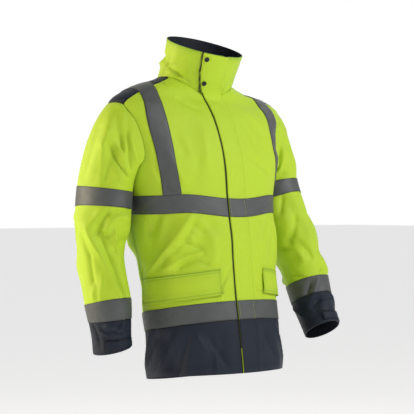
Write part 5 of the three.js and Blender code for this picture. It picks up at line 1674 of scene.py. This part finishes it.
@dataclass
class Sleeve:
    """A sleeve with its tapes, its cuff and the cuff's tab."""

    tailor: Tailor
    side: Side
    hole: Grid
    lime: Stitching
    dark: Stitching
    grey: Stitching
    tab_columns: tuple[float, float] = (2 / 21, 8 / 21)

    def build(self) -> None:
        """Makes the sleeve's pieces."""
        arm, label = Arm(self.side), self.side.label
        phi = arm.angles(self.hole)
        cap = arm.cap(self.hole, phi)
        upper_band = tube_rows(BAND_TOP, BAND_BOTTOM)
        middle = tube_rows(BAND_BOTTOM, LOWER_BAND_TOP, False, False)
        lower_band = tube_rows(LOWER_BAND_TOP, CUFF_SEAM)
        tube = arm.tube(phi, np.concatenate([upper_band, middle[1:], lower_band[1:]]))
        sleeve = cap.then(tube.part(slice(1, None)), 0)
        self.tailor.wall(f"sleeve_{label}", sleeve.sewn(Edge.TOP), Layer.SHELL, "yellow_oxford", Finish.YELLOW,
                         "navy_taffeta", rests_on=(f"yoke_{label}",), seams=(Edge.BOTTOM, Edge.TOP))
        self.band("upper", tube.part(slice(0, len(upper_band))))
        self.band("lower", tube.part(slice(len(tube.p) - len(lower_band), None)))
        self.cuff(arm.tube(phi, tube_rows(CUFF_SEAM, SLEEVE_END)))

    def band(self, place: str, grid: Grid) -> None:
        """Lays one tape round the sleeve."""
        edges = (Edge.BOTTOM, Edge.TOP)
        relief = sum(0.35 * hump(grid.from_edge(edge), 2.0, 1.6) for edge in edges)
        raised = grid.raised(0.15 - relief)
        name = f"sleeve_tape_{place}_{self.side.label}"
        self.tailor.wall(name, raised, Layer.ON_SHELL, "bead_tape", Finish.TAPE, held=Hold.LAID,
                         rests_on=(f"sleeve_{self.side.label}",), seams=edges)
        for edge in edges:
            self.grey.sew(raised.beside(edge, 2.0), Layer.ON_SHELL.value[1])

    def cuff(self, grid: Grid) -> None:
        """Makes the navy cuff with its turned end and the adjusting tab on it."""
        label = self.side.label
        away = grid.from_edge(Edge.TOP)
        shaped = grid.sewn(Edge.BOTTOM).raised(0.4 * hump(away, 10, 7) - 0.5 * hump(away, 20, 2.4))
        self.tailor.wall(f"cuff_{label}", shaped, Layer.SHELL, "navy_oxford", Finish.NAVY, "navy_taffeta",
                         rests_on=(f"sleeve_{label}",), seams=(Edge.BOTTOM,), stitches=((Edge.TOP, 20.0),))
        self.dark.sew(shaped.beside(Edge.TOP, 20.0), 0.8)
        columns = [round(share * grid.p.shape[1]) for share in self.tab_columns]
        length = grid.from_edge(Edge.TOP).mean(1)
        rows = [int(np.argmin(np.abs(length - at))) for at in (32, 6)]
        tab = shaped.part(slice(rows[0], rows[1] + 1), slice(columns[0], columns[1] + 1))
        tab = replace(tab, closed=False)
        relief = sum(0.5 * hump(tab.from_edge(edge), 4, 1.8) for edge in Edge)
        ends = hump(tab.from_edge(Edge.FIRST), 0, 12) + hump(tab.from_edge(Edge.LAST), 0, 12)
        tab = tab.raised(1.2 + 1.8 * ends - relief)
        self.tailor.wall(f"cuff_tab_{label}", tab, Layer.ON_SHELL, "navy_oxford", Finish.NAVY,
                         held=Hold.LAID, rests_on=(f"cuff_{label}",), stitches=tuple((edge, 4.0) for edge in Edge))
        for edge in Edge:
            self.dark.sew(tab.beside(edge, 4.0), Layer.ON_SHELL.value[1])


@dataclass
class Neck:
    """The collar and its lining."""

    tailor: Tailor
    seam: Array
    lime: Stitching

    def build(self) -> Grid:
        """Makes both and returns the collar's cloth."""
        grid = Collar().grid(self.seam)
        edges = (Edge.BOTTOM, Edge.TOP)
        outer = grid.raised(-0.5 * hump(grid.from_edge(Edge.TOP), 0, 1.6) - 0.3 * hump(grid.from_edge(Edge.TOP), 6, 1.4))
        self.tailor.wall("collar", outer, Layer.SHELL, "yellow_oxford", Finish.YELLOW, rests_on=("yoke_right",),
                         seams=(Edge.TOP,), stitches=((Edge.TOP, 6.0),), flap_shadow_distance=self.beside_flap(grid))
        self.lime.sew(outer.beside(Edge.TOP, 6.0), 0.8)
        self.tailor.wall("collar_lining", grid.raised(0.3), Layer.INSIDE, "navy_taffeta", Finish.LINING,
                         rests_on=("collar",), seams=edges)
        return grid

    def beside_flap(self, grid: Grid) -> Array:
        """Each node's distance from the storm flap's free edge, for the painted shadow beside it."""
        edge = Collar().flap(np.linspace(0, 1, 60), np.linspace(0, 1, 4)).raised(-FLAP_LIFT).p[:, 0]
        return np.maximum(np.linalg.norm(grid.p[:, :, None] - edge, axis=-1).min(-1) - 1.8, 0)


@dataclass
class Closure:
    """The zip under the storm flap, the flap with its facing, tapes and press studs."""

    tailor: Tailor
    body: Body
    collar: Grid
    lime: Stitching
    dark: Stitching
    grey: Stitching
    facing_shows: float = 1.2
    facing_lit_up_to: float = 62.0
    stud_radius: float = 6.8
    studs: dict[str, tuple[float, float]] = field(default_factory=lambda: {
        "snap_upper": (0.86, 1.0), "snap_lower": (0.24, 1.7)})

    def below_neck(self, columns: slice) -> Grid:
        """The columns next to the middle line from the hem to the neck seam, from right to left."""
        halves = [
            self.body.front_hems[side].then(self.body.fronts[side].part(slice(1, None)), 0).part(slice(None), columns)
            for side in (Side.RIGHT, Side.LEFT)
        ]
        return halves[0].reversed(1).then(halves[1], 1)

    def build(self) -> None:
        """Makes the closure's pieces."""
        below = self.below_neck(slice(0, count(FRONT_COLUMNS[:1]) + 1))
        self.zip()
        # The facing gets the painted shadow beside the flap's free edge, except up to facing_lit_up_to from the hem,
        # which stays lit.
        self.tailor.wall("flap_facing", below, Layer.ON_SHELL, "yellow_oxford", Finish.YELLOW, held=Hold.HUNG,
                         rests_on=("front_left",), seams=(),
                         flap_shadow_distance=np.where(below.walked(0) < self.facing_lit_up_to, FAR_OFF, below.from_column(0)))
        hem_cells = count(HEM_ROWS)
        whole = self.shaped(self.through_neck(below))
        hem = whole.part(slice(0, hem_cells + 1))
        upper = whole.part(slice(hem_cells, None))
        self.tailor.wall("storm_flap_hem", hem, Layer.FLAP, "navy_oxford", Finish.NAVY, rests_on=("hem_front_left",),
                         seams=(Edge.TOP,), stitches=((Edge.BOTTOM, 21.0), (Edge.LAST, 2.5)))
        self.tailor.wall("storm_flap", upper, Layer.FLAP, "yellow_oxford", Finish.YELLOW, rests_on=("front_left",),
                         seams=())
        for grid, thread in ((hem, self.dark), (upper, self.lime)):
            thread.sew(grid.beside(Edge.FIRST, 5.0), Layer.FLAP.value[1])
            thread.sew(grid.beside(Edge.LAST, 2.5), Layer.FLAP.value[1])
            thread.sew(grid.beside(Edge.LAST, 8.0), Layer.FLAP.value[1])
        for name, rows in (("hem_tape_flap", self.body.rows(HEM_TAPE_ROWS)),
                           ("chest_tape_flap", self.body.rows(CHEST_TAPE_ROWS, HEM_TAPE_ROWS, MIDDLE_ROWS))):
            grid = upper.part(rows).raised(0.1)
            self.tailor.wall(name, grid, Layer.ON_FLAP, "bead_tape", Finish.TAPE, held=Hold.LAID,
                             rests_on=("storm_flap",), seams=(Edge.BOTTOM, Edge.TOP))
            for edge in (Edge.BOTTOM, Edge.TOP):
                self.grey.sew(grid.beside(edge, 2.0), Layer.ON_FLAP.value[1])
            self.lime.sew(grid.beside(Edge.FIRST, 5.0), Layer.ON_FLAP.value[1])
            self.lime.sew(grid.beside(Edge.LAST, 8.0), Layer.ON_FLAP.value[1])
        self.press_studs(upper)

    def through_neck(self, below: Grid) -> Grid:
        """The flap's cloth from the hem over the neck seam to the collar's top, on one smooth run."""
        x = below.p[-1, :, 0]
        across = (x - x[0]) / (x[-1] - x[0])
        kept = below.part(slice(0, int(np.argmax(below.from_edge(Edge.TOP).mean(1) < 24))))
        share = np.concatenate([np.linspace(0.22, 0.93, 20), [0.96, 0.985, 1.0]])
        above = Collar().flap(share, across)
        t = np.linspace(0, 1, 12)[1:-1, None, None]
        swing = 3 * t**2 - 2 * t**3
        start, stop = kept.p[-1], above.p[0]
        leave, arrive = unit(kept.p[-1] - kept.p[-3]), unit(above.p[2] - above.p[0])
        span = np.linalg.norm(stop - start, axis=-1, keepdims=True)
        p = (1 - swing) * start + swing * stop + span * ((t**3 - 2 * t**2 + t) * leave + (t**3 - t**2) * arrive)
        n = unit(lerp(kept.n[-1], above.n[0], t))
        return kept.then(Grid(p, n), 0).then(above, 0)

    def shaped(self, grid: Grid) -> Grid:
        """The flap with its facing showing at the free edge, a soft lift there and grooves under its stitches."""
        way = unit(grid.p[:, 1] - grid.p[:, 0])
        p = grid.p.copy()
        p[:, 0] += way * self.facing_shows
        p[:, 1] += way * self.facing_shows * 0.3
        grid = replace(grid, p=p)
        free, sewn, up = grid.from_edge(Edge.FIRST), grid.from_edge(Edge.LAST), grid.walked(0)
        lift = (0.7 + 0.6 * np.sin(up / 61) + 0.5 * np.sin(up / 27 + 1)) * hump(free, 0, 9)
        groove = 0.35 * hump(free, 5, 1.5) + 0.35 * hump(sewn, 8, 1.5) + 1.3 * hump(sewn, 0, 3)
        pucker = 0.7 * np.sin(up / 7 + 2 * np.sin(up / 31)) * hump(sewn, 10, 8)
        return grid.raised(np.maximum(lift, 0) - groove + pucker)

    def zip(self) -> None:
        """Makes the strip that holds the zip, from the hem to the collar's top, and the closed teeth on it."""
        edge = slice(0, 1)
        below = self.below_neck(edge)
        p, n = (np.stack([v[2:, 0], v[2:, -1]], 1) for v in (self.collar.p, self.collar.n))
        strip = below.then(Grid(p, n), 0)
        middle = Grid((strip.p[:, :1] + strip.p[:, 1:]) / 2, unit(strip.n[:, :1] + strip.n[:, 1:]))
        strip = strip.part(slice(None), slice(0, 1)).then(middle, 1).then(strip.part(slice(None), slice(1, 2)), 1)
        self.tailor.wall("zip", strip, Layer.SHELL, "zip_webbing", Finish.ZIP, rests_on=("front_right",), seams=())
        self.teeth(middle)

    def teeth(self, line: Grid) -> None:
        """Makes the teeth as joined blocks, from either side in turn."""
        p, n = line.p[:, 0], line.n[:, 0]
        walked = np.concatenate([[0], np.cumsum(np.linalg.norm(np.diff(p, axis=0), axis=1))])
        at = np.arange(4, walked[-1] - 4, 1.6)
        place, out = (np.stack([np.interp(at, walked, v[:, k]) for k in range(3)], -1) for v in (p, n))
        up = unit(np.gradient(place, axis=0))
        across = unit(np.cross(up, out))
        hand = np.where(np.arange(len(at)) % 2 == 0, 1, -1)[:, None]
        corners = []
        for depth in (-1.5, 1.5):
            for far, half in ((-0.9, 0.45), (2.6, 0.65)):
                for rise in (-half, half):
                    corners.append(place + out * depth + across * hand * far + up * rise)
        vertices = np.stack(corners, 1).reshape(-1, 3)
        local = np.array([(0, 1, 3, 2), (4, 6, 7, 5), (0, 4, 5, 1), (2, 3, 7, 6), (0, 2, 6, 4), (1, 5, 7, 3)])
        faces = (local[None] + 8 * np.arange(len(at))[:, None, None]).reshape(-1, 4)
        item = self.tailor.mesh("zip_teeth", vertices, faces.tolist(), "moulded_teeth", Finish.ZIP)
        item.data.polygons.foreach_set("use_smooth", np.zeros(len(faces), bool))

    def press_studs(self, flap: Grid) -> None:
        """Makes the two caps: a domed disc with a rim and a dished middle."""
        walked = flap.from_edge(Edge.TOP).mean(1)
        for name, (share, lift) in self.studs.items():
            row = int(np.argmin(np.abs(walked - (1 - share) * COLLAR_LENGTH)))
            column = round(0.22 * (flap.p.shape[1] - 1))
            n = flap.n[row, column]
            seat = flap.p[row, column] + n * (Layer.FLAP.value[1] + lift * 0.4)
            profile = np.array([(0, 1.5), (2.2, 1.5), (3.6, 1.75), (4.4, 2.2), (5.4, 2.3), (6.3, 1.9), (6.8, 1.1),
                                (6.8, 0.2), (6.2, 0.0), (0, 0.0)]) * (self.stud_radius / 6.8, 1)
            turns = np.linspace(0, 2 * math.pi, 40, endpoint=False)
            side = unit(np.cross(n, (0, 0, 1)))
            up = np.cross(side, n)
            ring = side * np.cos(turns)[:, None] + up * np.sin(turns)[:, None]
            points = np.concatenate([seat + ring * r + n * h for r, h in profile[1:-1]]
                                    + [[seat + n * profile[0][1]], [seat]])
            around = np.arange(40)
            after = (around + 1) % 40
            bands = len(profile) - 3
            faces = []
            for b in range(bands):
                near, far = b * 40, (b + 1) * 40
                faces += np.stack([near + around, far + around, far + after, near + after], -1).tolist()
            top, foot = len(points) - 2, len(points) - 1
            for middle, first, last in ((top, around, after), (foot, bands * 40 + after, bands * 40 + around)):
                faces += np.stack([np.full(40, middle), first, last], -1).tolist()
            item = self.tailor.mesh(f"{name}_cap", points, faces, "dark_metal", Finish.STUD)
            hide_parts(name)


@dataclass(frozen=True)
class Studio:
    """The floor, the light and the camera at the photograph's angle."""

    azimuth: float = -39.0
    distance: float = 4.0
    aim: tuple[float, float, float] = (0.0, -0.05, -0.36)
    lens: float = 124.87
    shift: float = 0.0024
    floor_z: float = -1.45
    air_behind: float = 0.52
    air_in_front: float = 0.27
    warm: tuple[float, float, float] = (1.0, 0.84, 0.6)

    def build(self) -> None:
        """Makes them all."""
        scene = bpy.context.scene
        scene.view_settings.view_transform = "Standard"
        world = bpy.data.worlds.new("studio_air")
        scene.world = world
        world.use_nodes = True
        self.floor()
        a = math.radians(self.azimuth)
        back = Vector((math.sin(a), -math.cos(a), 0))
        self.air(world, back)
        camera = bpy.data.objects.new("camera", bpy.data.cameras.new("camera"))
        scene.collection.objects.link(camera)
        camera.data.lens, camera.data.sensor_width, camera.data.shift_x = self.lens, 36.0, self.shift
        camera.location = Vector(self.aim) + back * self.distance
        camera.rotation_mode = "QUATERNION"
        camera.rotation_quaternion = (-back).to_track_quat("-Z", "Y")
        scene.camera = camera
        right = Vector((math.cos(a), math.sin(a), 0))
        self.lamp("rim", Vector(self.aim) - right * 2.4 + back * 0.1 + Vector((0, 0, 0.5)), 0.9, 52.0, self.warm)
        self.lamp("key", Vector(self.aim) + right * 2.3 + back * 1.4 + Vector((0, 0, 1.7)), 0.9, 62.0)
        self.lamp("fill", Vector(self.aim) - right * 1.6 + back * 2.3 + Vector((0, 0, 0.2)), 1.2, 5.0)
        self.lamp("behind", Vector(self.aim) - back * 2.6 + right * 0.8 + Vector((0, 0, 1.8)), 1.4, 8.0)

    def air(self, world: bpy.types.World, back: Vector) -> None:
        """Makes the backdrop white and the air's own light softer, most of all in front of the jacket."""
        tree = ShaderTree(world.node_tree)
        place = tree.node("ShaderNodeTexCoord", {}).outputs["Generated"]
        towards = tree.node("ShaderNodeVectorMath", {"operation": "DOT_PRODUCT"}, place, back).outputs["Value"]
        dimmed = Value(tree, towards).rises(-0.55, 0.35)
        light, dim = (self.air_behind,) * 3 + (1,), (self.air_in_front,) * 3 + (1,)
        seen = Value(tree, tree.node("ShaderNodeLightPath", {}).outputs["Is Camera Ray"])
        air = tree.blend(seen, tree.blend(dimmed, light, dim), (1, 1, 1, 1))
        tree.feed(tree.nodes["Background"].inputs["Color"], air)

    def lamp(self, name: str, place: Vector, size: float, power: float,
             colour: tuple[float, float, float] = (1.0, 1.0, 1.0)) -> None:
        """Adds a soft square lamp that faces the jacket."""
        light = bpy.data.lights.new(name, "AREA")
        light.size, light.energy, light.color = size, power, colour
        item = bpy.data.objects.new(name, light)
        bpy.context.scene.collection.objects.link(item)
        item.location = place
        item.rotation_mode = "QUATERNION"
        item.rotation_quaternion = (Vector(self.aim) - place).to_track_quat("-Z", "Y")

    def floor(self) -> None:
        """Makes the pale floor."""
        data = bpy.data.meshes.new("floor")
        reach = 60.0
        corners = [(-reach, -reach), (reach, -reach), (reach, reach), (-reach, reach)]
        data.from_pydata([(x, y, self.floor_z) for x, y in corners], [], [(0, 1, 2, 3)])
        paint = Paint("pale_floor")
        place = paint.node("ShaderNodeTexCoord", {}).outputs["Object"]
        speck = paint.noise(place, 40.0)
        paint.set(Base_Color=paint.blend(speck, (0.95, 0.95, 0.95, 1), (0.98, 0.98, 0.98, 1)), Roughness=0.9,
                  Specular_IOR_Level=0.1, Emission_Color=(1, 1, 1, 1), Emission_Strength=0.42)
        data.materials.append(paint.material)
        item = bpy.data.objects.new("floor", data)
        bpy.context.scene.collection.objects.link(item)


def main() -> None:
    """Builds the jacket and its studio."""
    logging.basicConfig(level=logging.INFO, format="%(name)s: %(message)s")
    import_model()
    tailor = Tailor({finish.name: finish.make() for finish in FINISHES})
    lime = Stitching("lime_stitches", "lime_thread", Finish.YELLOW)
    dark = Stitching("navy_stitches", "navy_thread", Finish.NAVY)
    grey = Stitching("tape_stitches", "grey_thread", Finish.TAPE)
    body = Body(tailor, lime, dark, grey)
    body.build()
    for side in Side:
        Sleeve(tailor, side, body.armhole(side), lime, dark, grey).build()
    collar = Neck(tailor, body.neck_seam(), lime).build()
    Closure(tailor, body, collar, lime, dark, grey).build()
    for stitching in (lime, dark, grey):
        stitching.build(tailor)
    Studio().build()
    LOG.info("%d pieces", len(tailor.made))


if __name__ == "__main__":
    main()
